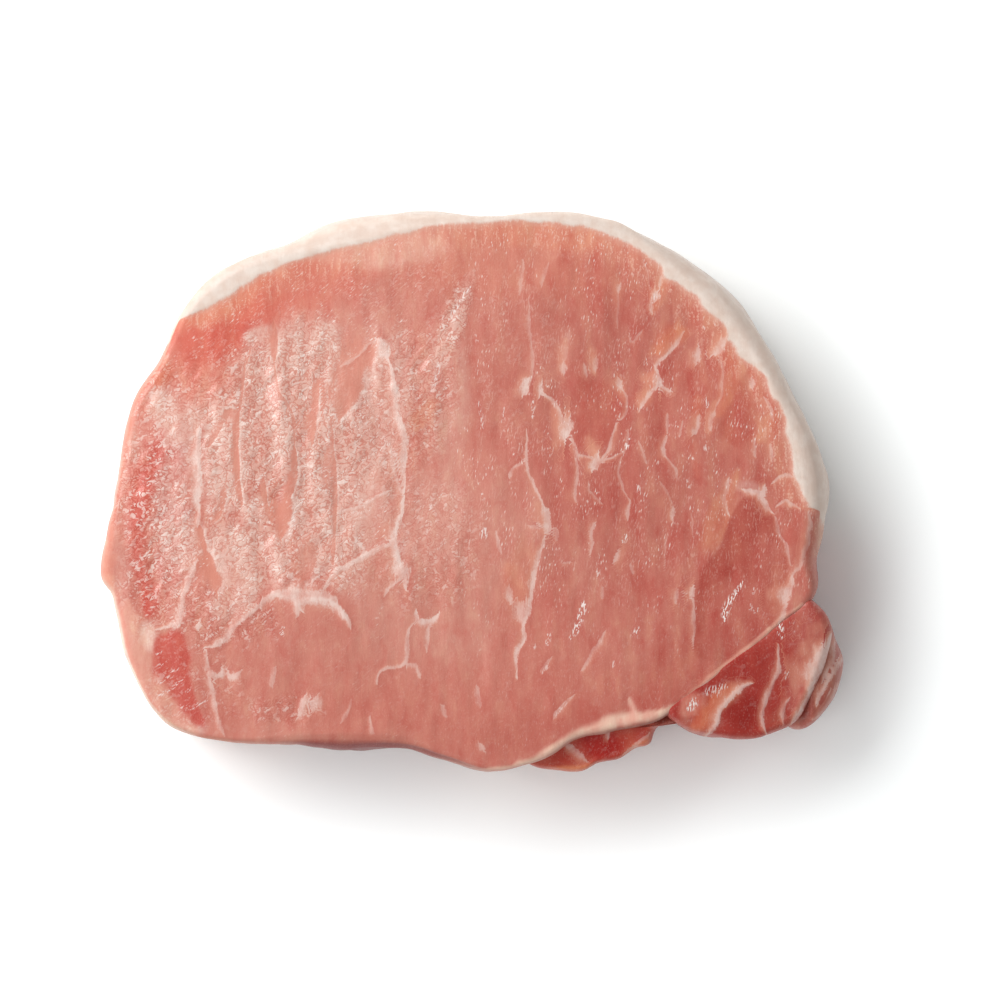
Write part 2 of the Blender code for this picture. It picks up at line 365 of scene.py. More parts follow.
seams = [
    # the long seam left of the middle, and its branches
    (1.3, 1.0, [(-14.2, 22.2), (-13.4, 21.2), (-13.2, 20.2)]),
    (0.7, 1.0, [(-13.2, 20.2), (-12.2, 18.0), (-11.8, 16.0), (-11.6, 13.5), (-11.3, 11.5),
        (-10.7, 10.0), (-10.4, 8.0), (-10.3, 4.0), (-10.4, 1.0), (-10.3, -0.8)]),
    (0.9, 1.0, [(-10.3, -0.8), (-10.8, -3.0), (-11.5, -5.5), (-11.9, -8.0), (-11.6, -9.5),
        (-10.8, -11.5), (-10.3, -13.0), (-10.3, -14.6)]),
    (1.7, 1.0, [(-10.9, -11.2), (-10.5, -12.6)]),
    (0.5, 0.8, [(-12.3, 6.5), (-12.0, 3.5), (-11.3, 1.0), (-10.6, -0.5)]),
    (0.4, 0.7, [(-14.2, 22.2), (-15.5, 22.2), (-16.8, 21.0), (-18.5, 19.5), (-20.0, 18.5)]),
    (0.4, 0.8, [(-20.0, -3.2), (-17.0, -2.3), (-14.5, -1.0), (-12.0, 0.2)]),
    (0.6, 0.9, [(-22.5, -15.5), (-21.8, -13.8), (-20.8, -12.3), (-18.5, -11.0), (-16.0, -9.6),
        (-14.5, -8.6), (-12.6, -8.2), (-11.9, -8.2)]),
    (0.5, 0.8, [(-10.6, -13.2), (-11.8, -13.8), (-12.8, -14.6), (-13.5, -16.0)]),
    # the arc over the smooth bundles, lower left
    (1.1, 1.0, [(-32.0, -17.3), (-31.0, -16.1), (-30.0, -15.5), (-28.5, -15.6), (-27.2, -16.2),
        (-26.4, -17.2), (-25.6, -16.6), (-24.0, -16.2), (-22.3, -16.2), (-20.8, -17.0),
        (-19.5, -18.4), (-18.8, -19.4), (-18.5, -20.3)]),
    (1.6, 0.7, [(-30.0, -15.2), (-27.0, -15.6), (-23.0, -15.6), (-20.5, -16.6)]),
    (0.8, 0.7, [(-26.3, -17.0), (-26.6, -18.6)]),
    (0.7, 0.9, [(-32.0, -17.3), (-34.0, -18.8), (-36.0, -20.5), (-37.5, -22.5), (-38.8, -23.2),
        (-40.2, -23.6)]),
    (0.5, 0.8, [(-40.0, -24.0), (-39.8, -27.0), (-39.2, -31.0), (-38.2, -35.0), (-37.4, -37.0)]),
    (0.9, 0.8, [(-39.9, -27.0), (-38.4, -27.8), (-38.0, -27.0)]),
    (0.8, 0.8, [(-36.9, -27.8), (-36.1, -28.1), (-34.9, -27.0)]),
    (0.7, 0.45, [(-29.9, -26.6), (-30.3, -29.3)]),
    (0.9, 0.7, [(-26.4, -33.9), (-25.7, -32.4), (-25.3, -31.0)]),
    (0.9, 0.6, [(-24.2, -32.8), (-23.4, -31.2)]),
    (0.35, 0.5, [(-18.3, -31.2), (-18.7, -33.2), (-19.9, -35.1)]),
    (0.4, 0.7, [(-15.6, -33.9), (-15.2, -36.6)]),
    # the small fork below the middle
    (0.9, 0.9, [(-8.7, -18.1), (-8.3, -19.3), (-6.8, -19.7), (-5.2, -18.5)]),
    (0.4, 0.8, [(-6.8, -19.8), (-6.9, -24.2)]),
    (0.5, 0.8, [(-8.4, -19.3), (-9.6, -20.8), (-10.0, -23.0), (-10.2, -25.5), (-11.0, -26.3),
        (-13.4, -26.9), (-14.3, -27.5), (-14.7, -29.0)]),
    (0.5, 0.7, [(-10.2, -26.2), (-8.6, -26.5), (-8.2, -28.0)]),
    (0.5, 0.5, [(-4.8, -32.4), (-4.0, -33.9)]),
    (0.5, 0.5, [(0.4, -29.3), (1.0, -32.4)]),
    (0.6, 0.6, [(1.0, -38.2), (1.3, -38.9)]),
    # seams right of the middle
    (0.35, 0.6, [(8.5, 29.3), (8.3, 27.0), (8.6, 23.0), (9.0, 19.3), (8.8, 16.9), (8.0, 15.4)]),
    (0.4, 0.45, [(7.5, 34.7), (7.3, 32.4), (7.1, 29.3)]),
    (0.4, 0.45, [(11.3, 34.3), (10.6, 32.4), (10.2, 30.6)]),
    (0.9, 1.0, [(8.3, 16.8), (7.9, 15.4), (7.5, 14.5)]),
    (0.9, 0.9, [(10.2, 15.8), (9.9, 14.7)]),
    (0.5, 1.0, [(10.0, 14.8), (11.5, 14.0), (12.8, 12.5), (13.3, 10.5), (14.0, 8.8)]),
    (1.5, 1.0, [(14.3, 10.4), (14.0, 8.2)]),
    (0.4, 0.9, [(14.8, 8.4), (15.3, 6.8), (15.7, 5.3), (17.0, 5.1), (18.2, 4.6)]),
    (1.0, 0.9, [(18.6, 5.0), (18.1, 3.4)]),
    (0.4, 0.8, [(18.3, 3.3), (19.0, 4.2), (19.8, 5.4), (20.5, 6.8), (21.0, 8.6), (21.6, 10.6)]),
    (0.3, 0.8, [(19.0, 4.0), (20.4, 5.0), (22.0, 5.5)]),
    (0.4, 0.7, [(15.2, 6.8), (15.6, 2.7), (15.1, -0.4), (15.4, -1.6)]),
    (0.7, 0.2, [(14.4, 24.4), (14.0, 21.8), (13.6, 19.6)]),
    (0.8, 0.6, [(13.5, 18.8), (13.6, 17.8)]),
    (0.55, 0.6, [(18.4, 20.0), (18.4, 17.9)]),
    (0.35, 0.6, [(16.7, 18.9), (17.1, 17.2)]),
    (0.4, 0.9, [(8.0, 9.0), (8.0, 5.0), (8.3, 2.5), (8.8, 1.6), (9.8, -0.7), (10.8, -3.0)]),
    (1.1, 1.0, [(10.6, -2.6), (11.2, -4.8), (11.3, -6.2)]),
    (0.6, 1.0, [(11.3, -5.7), (10.2, -8.8), (9.2, -12.7), (8.5, -16.6), (7.7, -20.0), (7.7, -22.0),
        (6.7, -24.7), (6.4, -28.0)]),
    (1.1, 0.5, [(6.7, -16.6), (7.7, -19.6)]),
    (0.5, 0.5, [(8.3, -5.4), (9.6, -5.7)]),
    (0.4, 0.7, [(5.5, 2.0), (6.0, 3.3), (7.8, 4.6)]),
    (0.4, 0.7, [(3.4, -6.0), (3.8, -8.0), (4.1, -9.6)]),
    (0.7, 0.7, [(5.4, -14.5), (5.6, -16.6)]),
    (0.4, 0.6, [(12.3, -5.4), (12.5, -7.7)]),
    (0.4, 0.7, [(18.3, -5.0), (17.9, -6.1), (17.5, -10.0)]),
    (0.3, 0.6, [(17.3, 1.6), (17.7, -0.3), (19.5, -1.9)]),
    (0.4, 0.5, [(13.5, -11.0), (14.8, -10.8)]),
    (0.5, 0.55, [(16.4, -27.0), (17.5, -25.0), (18.7, -23.1), (19.8, -21.2)]),
    (0.5, 0.55, [(12.1, -34.3), (13.3, -32.4), (15.2, -30.5)]),
    (0.4, 0.5, [(10.2, -27.0), (11.7, -25.0)]),
    (0.7, 0.6, [(21.2, -10.4), (21.8, -9.2)]),
    (0.4, 0.5, [(23.9, -12.4), (23.7, -11.0)]),
    (0.4, 0.5, [(19.5, -14.6), (19.5, -16.4)]),
    (0.6, 0.6, [(30.7, -15.2), (30.3, -16.8)]),
    (0.25, 0.5, [(29.1, -6.1), (28.7, -11.9)]),
    # upright seams of the right third
    (0.5, 0.7, [(28.4, 32.2), (28.0, 30.6)]),
    (0.9, 1.0, [(27.7, 29.6), (27.3, 28.7)]),
    (0.4, 0.8, [(27.4, 29.0), (26.6, 27.8), (26.8, 26.4)]),
    (0.25, 0.5, [(25.4, 34.6), (26.2, 32.4), (26.6, 30.2)]),
    (0.5, 0.7, [(22.0, 30.9), (21.7, 29.8)]),
    (0.3, 0.35, [(21.7, 29.8), (21.7, 28.5), (21.6, 26.2), (21.7, 24.5)]),
    (0.3, 0.5, [(23.3, 23.9), (23.7, 22.4), (25.4, 24.3)]),
    (0.8, 0.9, [(21.9, 16.8), (22.2, 15.6)]),
    (0.35, 0.7, [(22.3, 15.6), (23.0, 14.2), (23.2, 12.6), (22.8, 11.6), (21.8, 10.6)]),
    (0.35, 0.6, [(23.3, 9.2), (23.1, 7.3), (22.5, 5.4)]),
    (0.3, 0.5, [(22.4, 5.0), (21.7, 3.0), (22.2, 1.6), (23.3, -1.5)]),
    (0.4, 0.7, [(23.4, -1.2), (23.3, -3.0), (23.1, -4.5)]),
    (0.35, 0.6, [(24.8, 7.5), (25.5, 5.5), (26.0, 4.0)]),
    (0.3, 0.5, [(29.3, 11.5), (29.2, 8.6)]),
    (0.6, 0.8, [(29.0, 8.0), (28.6, 6.4), (28.8, 5.2)]),
    (0.3, 0.6, [(28.8, 5.2), (30.3, 3.4), (30.7, 1.9)]),
    (0.35, 0.5, [(31.4, 10.4), (31.0, 8.1)]),
    (0.3, 0.5, [(28.0, 1.6), (29.1, -0.3), (30.2, -2.4)]),
    (0.6, 0.8, [(30.2, -2.6), (29.9, -4.4)]),
    (0.25, 0.4, [(32.8, -3.0), (33.0, -7.3)]),
    (0.55, 0.9, [(31.7, 24.0), (30.6, 22.2), (29.4, 20.7), (28.0, 19.5), (27.2, 18.8)]),
    (0.6, 0.9, [(27.2, 18.7), (27.8, 16.9), (27.6, 15.8), (26.2, 14.2), (24.9, 11.9)]),
    (1.1, 0.9, [(27.7, 17.0), (27.9, 15.8)]),
    (0.5, 0.7, [(28.0, 15.7), (29.5, 15.0)]),
    (0.8, 0.7, [(33.7, 21.6), (33.4, 19.3)]),
    (0.8, 0.9, [(38.0, 23.0), (36.9, 21.1), (36.1, 20.5)]),
    (0.3, 0.6, [(36.8, 20.4), (37.6, 18.1), (37.4, 15.4), (36.4, 11.9)]),
    (0.55, 0.7, [(36.4, 11.9), (35.7, 10.4), (35.8, 9.2)]),
    (0.7, 0.7, [(33.9, 11.2), (33.5, 9.2), (33.0, 8.5)]),
    (0.8, 0.6, [(42.0, 16.8), (42.1, 15.6)]),
    (0.5, 0.6, [(43.9, 13.8), (44.6, 12.3), (45.0, 10.6)]),
    (0.4, 0.7, [(42.1, 8.0), (42.4, 5.0)]),
    (0.4, 0.7, [(44.5, 7.0), (44.8, 4.5)]),
    (0.7, 0.6, [(38.4, 1.9), (38.0, -0.1), (37.6, -1.1), (38.4, -3.4)]),
    (0.6, 0.9, [(40.4, 0.3), (41.6, -0.2), (42.6, -0.2), (43.6, -1.4), (44.4, -2.6), (45.2, -3.6)]),
    (0.6, 0.9, [(43.8, 0.8), (43.7, -1.0), (44.4, -2.6)]),
    (0.4, 0.8, [(45.5, -2.5), (46.9, -1.5), (49.0, -2.7)]),
    (0.4, 0.8, [(44.9, 1.1), (46.5, 2.3), (48.2, 1.9)]),
    (0.4, 0.55, [(45.3, -3.8), (46.0, -6.2), (47.2, -9.0), (47.8, -11.0)]),
    (0.45, 0.6, [(50.4, -3.0), (50.7, -6.1), (49.2, -10.8), (48.0, -12.7)]),
    (0.5, 0.9, [(48.1, -12.6), (47.8, -14.4), (47.4, -16.2), (46.8, -18.0)]),
    (1.3, 0.7, [(47.2, -15.0), (46.8, -16.8)]),
    (0.5, 0.9, [(46.9, -17.6), (46.6, -19.0), (45.9, -20.2)]),
    (0.5, 0.7, [(45.9, -20.2), (44.4, -22.0), (41.1, -24.5), (37.2, -27.5), (33.4, -30.3),
        (31.0, -32.5)]),
    (0.35, 0.7, [(33.2, -15.4), (33.0, -19.0), (33.3, -21.0), (32.9, -24.0)]),
    (0.8, 0.8, [(33.2, -14.8), (33.0, -15.8)]),
    # seams of the left end
    (1.0, 0.9, [(-41.3, 9.0), (-41.5, 5.0), (-41.3, 2.0), (-41.3, -1.0), (-41.3, -5.0)]),
    (0.7, 0.8, [(-41.5, -10.5), (-42.3, -12.5), (-43.4, -15.0), (-44.2, -19.6), (-45.5, -20.4),
        (-47.5, -21.0)]),
]

# seams of the side muscle, in the same terms
sideSeams = [
    (0.65, 1.0, [(41.9, -29.1), (40.5, -29.5), (38.8, -31.2), (37.2, -32.8), (36.5, -35.1),
        (34.9, -37.0)]),
    (0.5, 0.8, [(45.9, -23.1), (45.9, -27.0), (44.2, -30.9), (43.6, -33.2), (43.8, -35.5),
        (44.6, -37.0)]),
    (0.5, 0.7, [(47.7, -31.2), (46.7, -32.8), (46.5, -35.1)]),
    (0.8, 1.0, [(53.7, -21.7), (53.2, -24.1), (52.4, -26.7), (51.1, -29.3), (50.0, -32.0),
        (48.0, -35.1)]),
    (2.2, 0.9, [(52.2, -24.0), (51.6, -26.2), (51.0, -28.2)]),
]

# ---- lean tones: broad soft ovals first (x, y, half sizes, turn, colour, strength) ----

leanTone = (203, 128, 113)
patches = [
    (-30.0, 4.0, 30.0, 34.0, 0.0, (214, 146, 130), 0.9),
    (26.0, 2.0, 26.0, 34.0, 0.0, (194, 113, 100), 0.85),
    (-30.0, 31.0, 20.0, 8.0, 25.0, (216, 126, 109), 0.9),
    (-46.0, 22.0, 10.0, 12.0, 60.0, (224, 141, 122), 0.8),
    (4.0, 36.0, 22.0, 7.0, 0.0, (213, 135, 116), 0.7),
    (-12.0, 36.8, 9.0, 3.4, 8.0, (230, 176, 158), 0.9),
    (-29.0, -36.4, 7.0, 2.4, 0.0, (214, 152, 134), 0.7),
    (-13.0, -36.6, 6.0, 2.6, 0.0, (206, 142, 125), 0.6),
    (11.0, 20.0, 4.0, 5.0, 0.0, (212, 140, 124), 0.5),
    (-4.0, 15.0, 4.0, 12.0, 0.0, (222, 166, 150), 0.5),
    (12.0, 38.6, 12.0, 2.6, -3.0, (220, 142, 118), 0.7),
    (-4.0, -14.0, 22.0, 20.0, 0.0, (210, 145, 129), 0.6),
    (-28.0, -28.0, 18.0, 12.0, 0.0, (203, 128, 113), 0.8),
    (6.0, -34.0, 34.0, 9.0, 0.0, (196, 113, 99), 0.6),
    (-50.0, 10.0, 6.0, 14.0, -12.0, (218, 142, 128), 0.6),
    (-51.0, -2.0, 2.6, 7.0, -8.0, (216, 118, 102), 0.8),
    (-45.0, 5.0, 3.5, 6.0, 0.0, (217, 138, 126), 0.7),
    (40.0, 14.0, 8.0, 10.0, 50.0, (203, 124, 107), 0.6),
    (36.5, -5.0, 2.0, 5.5, -22.0, (207, 128, 105), 0.9),
    (7.0, -13.0, 2.2, 6.0, -8.0, (206, 134, 112), 0.6),
    (-8.0, 11.0, 1.4, 3.5, -40.0, (219, 152, 126), 0.6),
    (48.5, -6.0, 2.0, 6.0, 8.0, (195, 112, 98), 0.8),
    # a darker brown strip at the right-hand edge: partly the edge's own colour, partly painted shade of
    # the edge turned from the lamp
    (52.0, -10.0, 1.6, 7.5, 0.0, (176, 108, 96), 0.9),
    (41.5, 0.4, 2.2, 1.0, -10.0, (214, 158, 146), 0.6),
    (-46.0, 13.0, 2.6, 5.0, 0.0, (224, 160, 145), 0.6),
    (-37.6, 24.2, 10.5, 5.0, 26.0, (216, 108, 92), 0.85),
    (-38.0, 28.6, 9.5, 2.6, 28.0, (224, 138, 112), 0.8),
    (-47.5, 18.0, 2.6, 2.4, 0.0, (226, 135, 105), 0.7),
    (-48.5, -16.0, 1.3, 3.0, 0.0, (210, 96, 84), 0.85),
    (-44.6, -2.0, 3.4, 13.0, -6.0, (217, 150, 140), 0.8),
    (-55.4, -12.2, 1.4, 3.0, 0.0, (226, 150, 130), 0.7),
    (-54.6, 1.5, 1.2, 4.4, 8.0, (236, 206, 190), 0.7),
    (-48.8, -22.0, 1.4, 2.4, 10.0, (240, 205, 190), 0.7),
    (10.0, -20.0, 8.0, 9.0, 0.0, (196, 115, 101), 0.7),
    (-43.5, -36.2, 3.4, 1.6, 12.0, (224, 192, 178), 0.8),
    (-20.0, 36.6, 5.0, 2.4, 10.0, (226, 168, 150), 0.6),
    (32.0, -28.0, 9.0, 6.0, 38.0, (190, 101, 88), 0.6),
    (12.0, -36.0, 12.0, 4.0, 8.0, (191, 106, 93), 0.6),
]
# then areas with an outline: softness, strength, colour, points round them
outlined = [
    (0.35, 0.95, (179, 90, 78), [
        (40.7, -1.0), (39.2, -3.0), (38.0, -5.8), (36.8, -8.8), (34.9, -11.2), (33.5, -15.0),
        (33.2, -20.0), (33.6, -25.0), (38.0, -25.4), (42.5, -22.9), (45.2, -20.0), (46.9, -15.4),
        (47.4, -11.0), (45.9, -5.4), (44.2, -2.6), (42.5, -1.0),
    ]),
    (0.8, 0.60, (191, 98, 85), [
        (15.9, 16.6), (18.5, 16.4), (20.6, 16.0), (21.8, 14.6), (22.6, 12.5), (21.8, 11.0),
        (21.4, 8.5), (20.6, 6.8), (19.4, 6.4), (17.2, 6.2), (15.8, 6.0), (15.2, 8.0), (15.1, 10.4),
        (15.8, 12.5),
    ]),
    (0.8, 0.50, (190, 104, 92), [
        (18.2, 3.3), (19.6, 4.5), (21.5, 5.5), (24.5, 5.6), (25.5, 4.6), (25.4, 1.5), (24.6, -1.0),
        (24.0, -4.5), (21.0, -5.5), (19.0, -4.0), (18.0, -1.5), (17.6, 1.0),
    ]),
    (0.8, 0.40, (192, 106, 94), [
        (9.2, 6.5), (13.0, 7.4), (15.0, 7.2), (15.6, 2.0), (15.8, -3.0), (15.4, -10.0),
        (13.8, -18.0), (11.5, -21.0), (9.6, -19.0), (10.4, -12.0), (12.0, -5.0), (10.6, -1.6),
        (9.2, 1.5),
    ]),
    (0.7, 0.45, (194, 103, 90), [
        (28.6, 18.4), (30.5, 19.6), (33.0, 19.0), (35.6, 19.0), (36.8, 17.8), (37.0, 16.0),
        (36.0, 12.2), (34.4, 11.4), (33.4, 13.6), (31.8, 15.6), (30.0, 15.4), (28.6, 16.6),
    ]),
    (0.8, 0.40, (192, 103, 90), [
        (25.4, 11.6), (27.0, 14.0), (28.0, 15.2), (29.6, 14.4), (29.4, 11.0), (29.0, 8.4),
        (27.6, 6.0), (26.2, 6.6), (25.6, 9.0),
    ]),
    (1.2, 0.60, (183, 86, 74), [
        (37.9, 14.2), (38.8, 16.4), (40.4, 17.0), (41.6, 14.4), (42.0, 11.4), (41.8, 8.4),
        (39.8, 6.6), (37.6, 7.2), (36.8, 9.2), (37.2, 11.8),
    ]),
    (1.2, 0.45, (196, 106, 92), [
        (11.6, 34.2), (16.0, 35.4), (21.0, 34.6), (24.4, 33.6), (24.6, 29.0), (20.6, 26.8),
        (15.6, 27.6), (11.4, 29.6),
    ]),
    (1.2, 0.6, (191, 110, 97), [
        (42.4, -6.6), (45.4, -7.4), (46.7, -11.0), (46.2, -15.0), (43.4, -16.4), (41.6, -12.0),
    ]),
    (1.8, 0.8, (193, 110, 97), [
        (37.0, -14.0), (40.5, -13.0), (44.0, -15.5), (44.5, -19.5), (41.0, -23.5), (36.0, -27.0),
        (34.4, -24.0), (35.0, -18.0),
    ]),
    (0.5, 0.95, (200, 92, 80), [
        (-47.9, -22.2), (-46.2, -21.2), (-44.0, -21.0), (-42.8, -24.0), (-42.4, -28.0),
        (-41.5, -32.0), (-40.4, -35.4), (-43.5, -34.8), (-46.2, -33.6), (-47.9, -30.5),
        (-48.3, -27.0), (-48.1, -24.5),
    ]),
    (0.5, 0.8, (213, 136, 119), [
        (-41.6, -5.0), (-40.6, -7.5), (-38.7, -11.5), (-38.2, -13.6), (-40.2, -13.2),
        (-41.6, -10.5), (-41.9, -7.5),
    ]),
    (0.6, 0.7, (204, 128, 114), [
        (-31.2, -17.4), (-29.6, -16.2), (-27.6, -16.6), (-26.6, -18.8), (-27.0, -24.0),
        (-28.4, -28.0), (-31.0, -25.5), (-32.2, -21.0),
    ]),
    (0.6, 0.6, (203, 128, 113), [
        (-25.8, -18.4), (-24.0, -16.9), (-21.8, -17.2), (-19.4, -19.6), (-18.4, -24.0),
        (-20.0, -29.0), (-24.0, -29.5), (-26.2, -24.0),
    ]),
]
# then long bands: width, softness share, strength, colour, path
bands = [
    (1.8, 0.6, 0.90, (245, 204, 182), [
        (33.6, -31.6), (30.6, -32.8), (27.0, -33.8), (24.0, -34.2), (20.0, -35.2), (17.0, -36.4),
        (13.6, -38.2), (10.0, -40.4), (6.0, -41.7), (1.0, -42.3),
    ]),
    (0.8, 0.8, 0.7, (240, 196, 176), [(24.4, -34.2), (24.0, -32.8), (23.4, -31.2)]),
    # a thin pale line along the eye's lower right edge: painted highlight where the edge catches the
    # light
    (0.7, 0.5, 0.75, (232, 172, 154), [
        (49.6, -17.0), (46.6, -19.1), (42.7, -22.5), (36.4, -27.5), (31.6, -31.4),
    ]),
    (2.6, 0.8, 0.60, (213, 102, 90), [
        (-46.6, 9.0), (-48.2, 4.0), (-49.8, -1.0), (-50.8, -5.0), (-50.6, -9.5), (-49.6, -14.0),
        (-49.0, -18.5),
    ]),
    (2.8, 0.7, 0.75, (224, 148, 128), [
        (-46.2, 20.2), (-49.2, 15.6), (-51.4, 10.0), (-52.8, 4.0), (-54.0, -2.0), (-55.0, -8.0),
        (-55.4, -12.5), (-54.0, -16.0),
    ]),
    (4.6, 0.4, 0.85, (227, 165, 146), [
        (-52.4, -17.0), (-51.8, -22.0), (-50.8, -27.0), (-48.6, -31.0), (-45.6, -34.6),
        (-42.0, -36.6),
    ]),
    (0.8, 0.4, 0.7, (240, 216, 200), [
        (-53.8, -19.0), (-53.2, -23.0), (-51.4, -27.9), (-49.2, -31.8), (-46.4, -34.9),
        (-42.0, -37.0),
    ]),
    (1.2, 0.5, 0.45, (226, 163, 144), [(48.2, 3.2), (49.0, 0.2), (50.4, -2.4), (51.8, -3.6)]),
    # warm tongues above the nodes of the seams
    (1.6, 0.9, 0.6, (221, 144, 116), [(28.9, 32.6), (28.0, 29.6), (26.9, 26.6)]),
    (2.6, 0.8, 0.7, (218, 134, 104), [(31.4, 24.4), (29.6, 22.8), (27.6, 20.6)]),
    (2.0, 0.8, 0.6, (221, 146, 120), [(27.0, 17.8), (26.2, 15.4), (25.0, 12.8)]),
    (2.2, 0.8, 0.6, (214, 130, 104), [(38.6, 22.0), (39.0, 19.6), (38.6, 16.6), (38.0, 13.8),
                                      (36.8, 11.4)]),
    (2.0, 0.8, 0.55, (220, 146, 118), [(45.2, 11.6), (44.0, 9.6), (42.8, 7.4)]),
    (1.6, 0.8, 0.55, (218, 142, 114), [(39.8, 3.2), (38.8, 0.8), (38.2, -1.6)]),
    (2.4, 0.8, 0.5, (220, 145, 120), [(5.2, -11.0), (6.4, -14.0), (7.0, -17.0)]),
    (1.8, 0.8, 0.5, (216, 138, 112), [(33.6, 14.2), (33.6, 12.0), (33.4, 9.6)]),
    (1.2, 0.7, 0.5, (228, 190, 176), [(37.6, 22.4), (36.8, 21.4), (36.2, 20.6)]),
    (1.3, 0.9, 0.6, (222, 152, 128), [(17.7, 21.6), (17.8, 19.4), (18.2, 17.6)]),
    (1.4, 0.9, 0.55, (222, 152, 128), [(13.9, 22.8), (13.4, 20.4), (13.4, 18.2)]),
    (1.2, 0.9, 0.55, (222, 152, 128), [(21.8, 17.6), (22.2, 15.4), (22.6, 13.4)]),
    (1.7, 0.9, 0.6, (223, 154, 126), [(38.6, 24.2), (37.2, 22.2), (36.4, 20.2)]),
    (1.4, 0.9, 0.55, (220, 146, 122), [(36.4, 13.4), (35.6, 11.0), (35.4, 8.8)]),
    (1.8, 0.9, 0.55, (223, 154, 130), [(12.6, 12.4), (13.2, 10.2), (14.0, 8.6)]),
    (1.6, 0.9, 0.55, (223, 154, 130), [(17.2, 8.0), (17.6, 6.2), (18.4, 4.6)]),
    (1.8, 0.9, 0.5, (220, 148, 126), [(41.8, 22.4), (40.4, 20.0), (39.8, 17.0)]),
    (1.3, 0.9, 0.5, (214, 136, 116), [(33.0, 8.0), (33.2, 5.0), (33.6, 2.0)]),
]

sideTone = (176, 68, 60)
sidePatches = [
    (47.6, -22.5, 4.4, 6.5, 0.0, (186, 86, 76), 0.8),
    (50.5, -20.5, 3.0, 5.0, 0.0, (187, 100, 90), 0.8),
    (40.0, -27.5, 7.0, 2.4, 38.0, (170, 62, 55), 0.7),
    (40.6, -33.4, 3.0, 3.4, 0.0, (160, 52, 46), 0.9),
    (46.0, -35.5, 2.6, 2.6, 0.0, (182, 88, 74), 0.7),
    (49.2, -29.0, 2.0, 5.0, -20.0, (196, 106, 96), 0.8),
    (32.8, -32.4, 2.6, 1.6, 40.0, (226, 150, 130), 0.8),
    (31.6, -35.2, 2.4, 1.2, 5.0, (188, 104, 90), 0.8),
]
sideBands = [
    (2.6, 0.6, 0.8, (222, 126, 96), [(33.0, -36.4), (34.2, -34.6), (36.0, -32.4), (38.0, -30.8),
                                     (39.6, -30.0)]),
    (1.3, 0.8, 0.75, (232, 186, 172), [(51.2, -23.2), (51.7, -25.4), (51.0, -27.6), (50.2, -30.0)]),
]
outerTone = (186, 110, 96)
outerPatches = [
    (55.0, -30.0, 3.0, 4.0, 30.0, (186, 124, 108), 0.8),
    (53.6, -21.5, 2.0, 3.0, 0.0, (196, 132, 116), 0.7),
    (51.4, -31.0, 1.6, 4.4, -28.0, (158, 74, 64), 0.7),
]
outerSeams = [
    (0.7, 0.8, [(55.6, -25.2), (53.8, -28.2), (51.6, -32.2)]),
    (0.6, 0.7, [(54.4, -22.4), (53.9, -26.0), (52.6, -29.0)]),
    (0.5, 0.6, [(55.4, -29.0), (53.6, -32.4), (51.2, -34.6)]),
]
flapTone = (192, 84, 68)
flapPatches = [
    (19.0, -38.2, 3.8, 2.6, 0.0, (172, 44, 40), 0.95),
    (14.0, -39.6, 3.4, 1.6, 20.0, (186, 66, 54), 0.8),
    (25.2, -36.6, 1.6, 1.4, 20.0, (184, 70, 58), 0.8),
    (15.0, -42.2, 6.0, 0.9, 3.0, (222, 128, 92), 0.9),
    (24.6, -39.2, 3.2, 1.1, 35.0, (218, 118, 82), 0.9),
    # a brown patch in the slit under the pale fat band: painted shade
    (30.5, -35.2, 3.2, 1.4, 0.0, (150, 84, 74), 0.9),
]
flapSeams = [
    (0.6, 0.7, [(13.6, -37.9), (15.8, -39.4), (17.0, -40.6)]),
    (0.5, 0.7, [(20.5, -35.6), (20.4, -37.4)]),
    (0.5, 0.6, [(22.6, -39.8), (24.6, -38.0), (26.4, -36.6)]),
]

# ---- wet light: fixed streaks that glisten (width, strength, path) ----

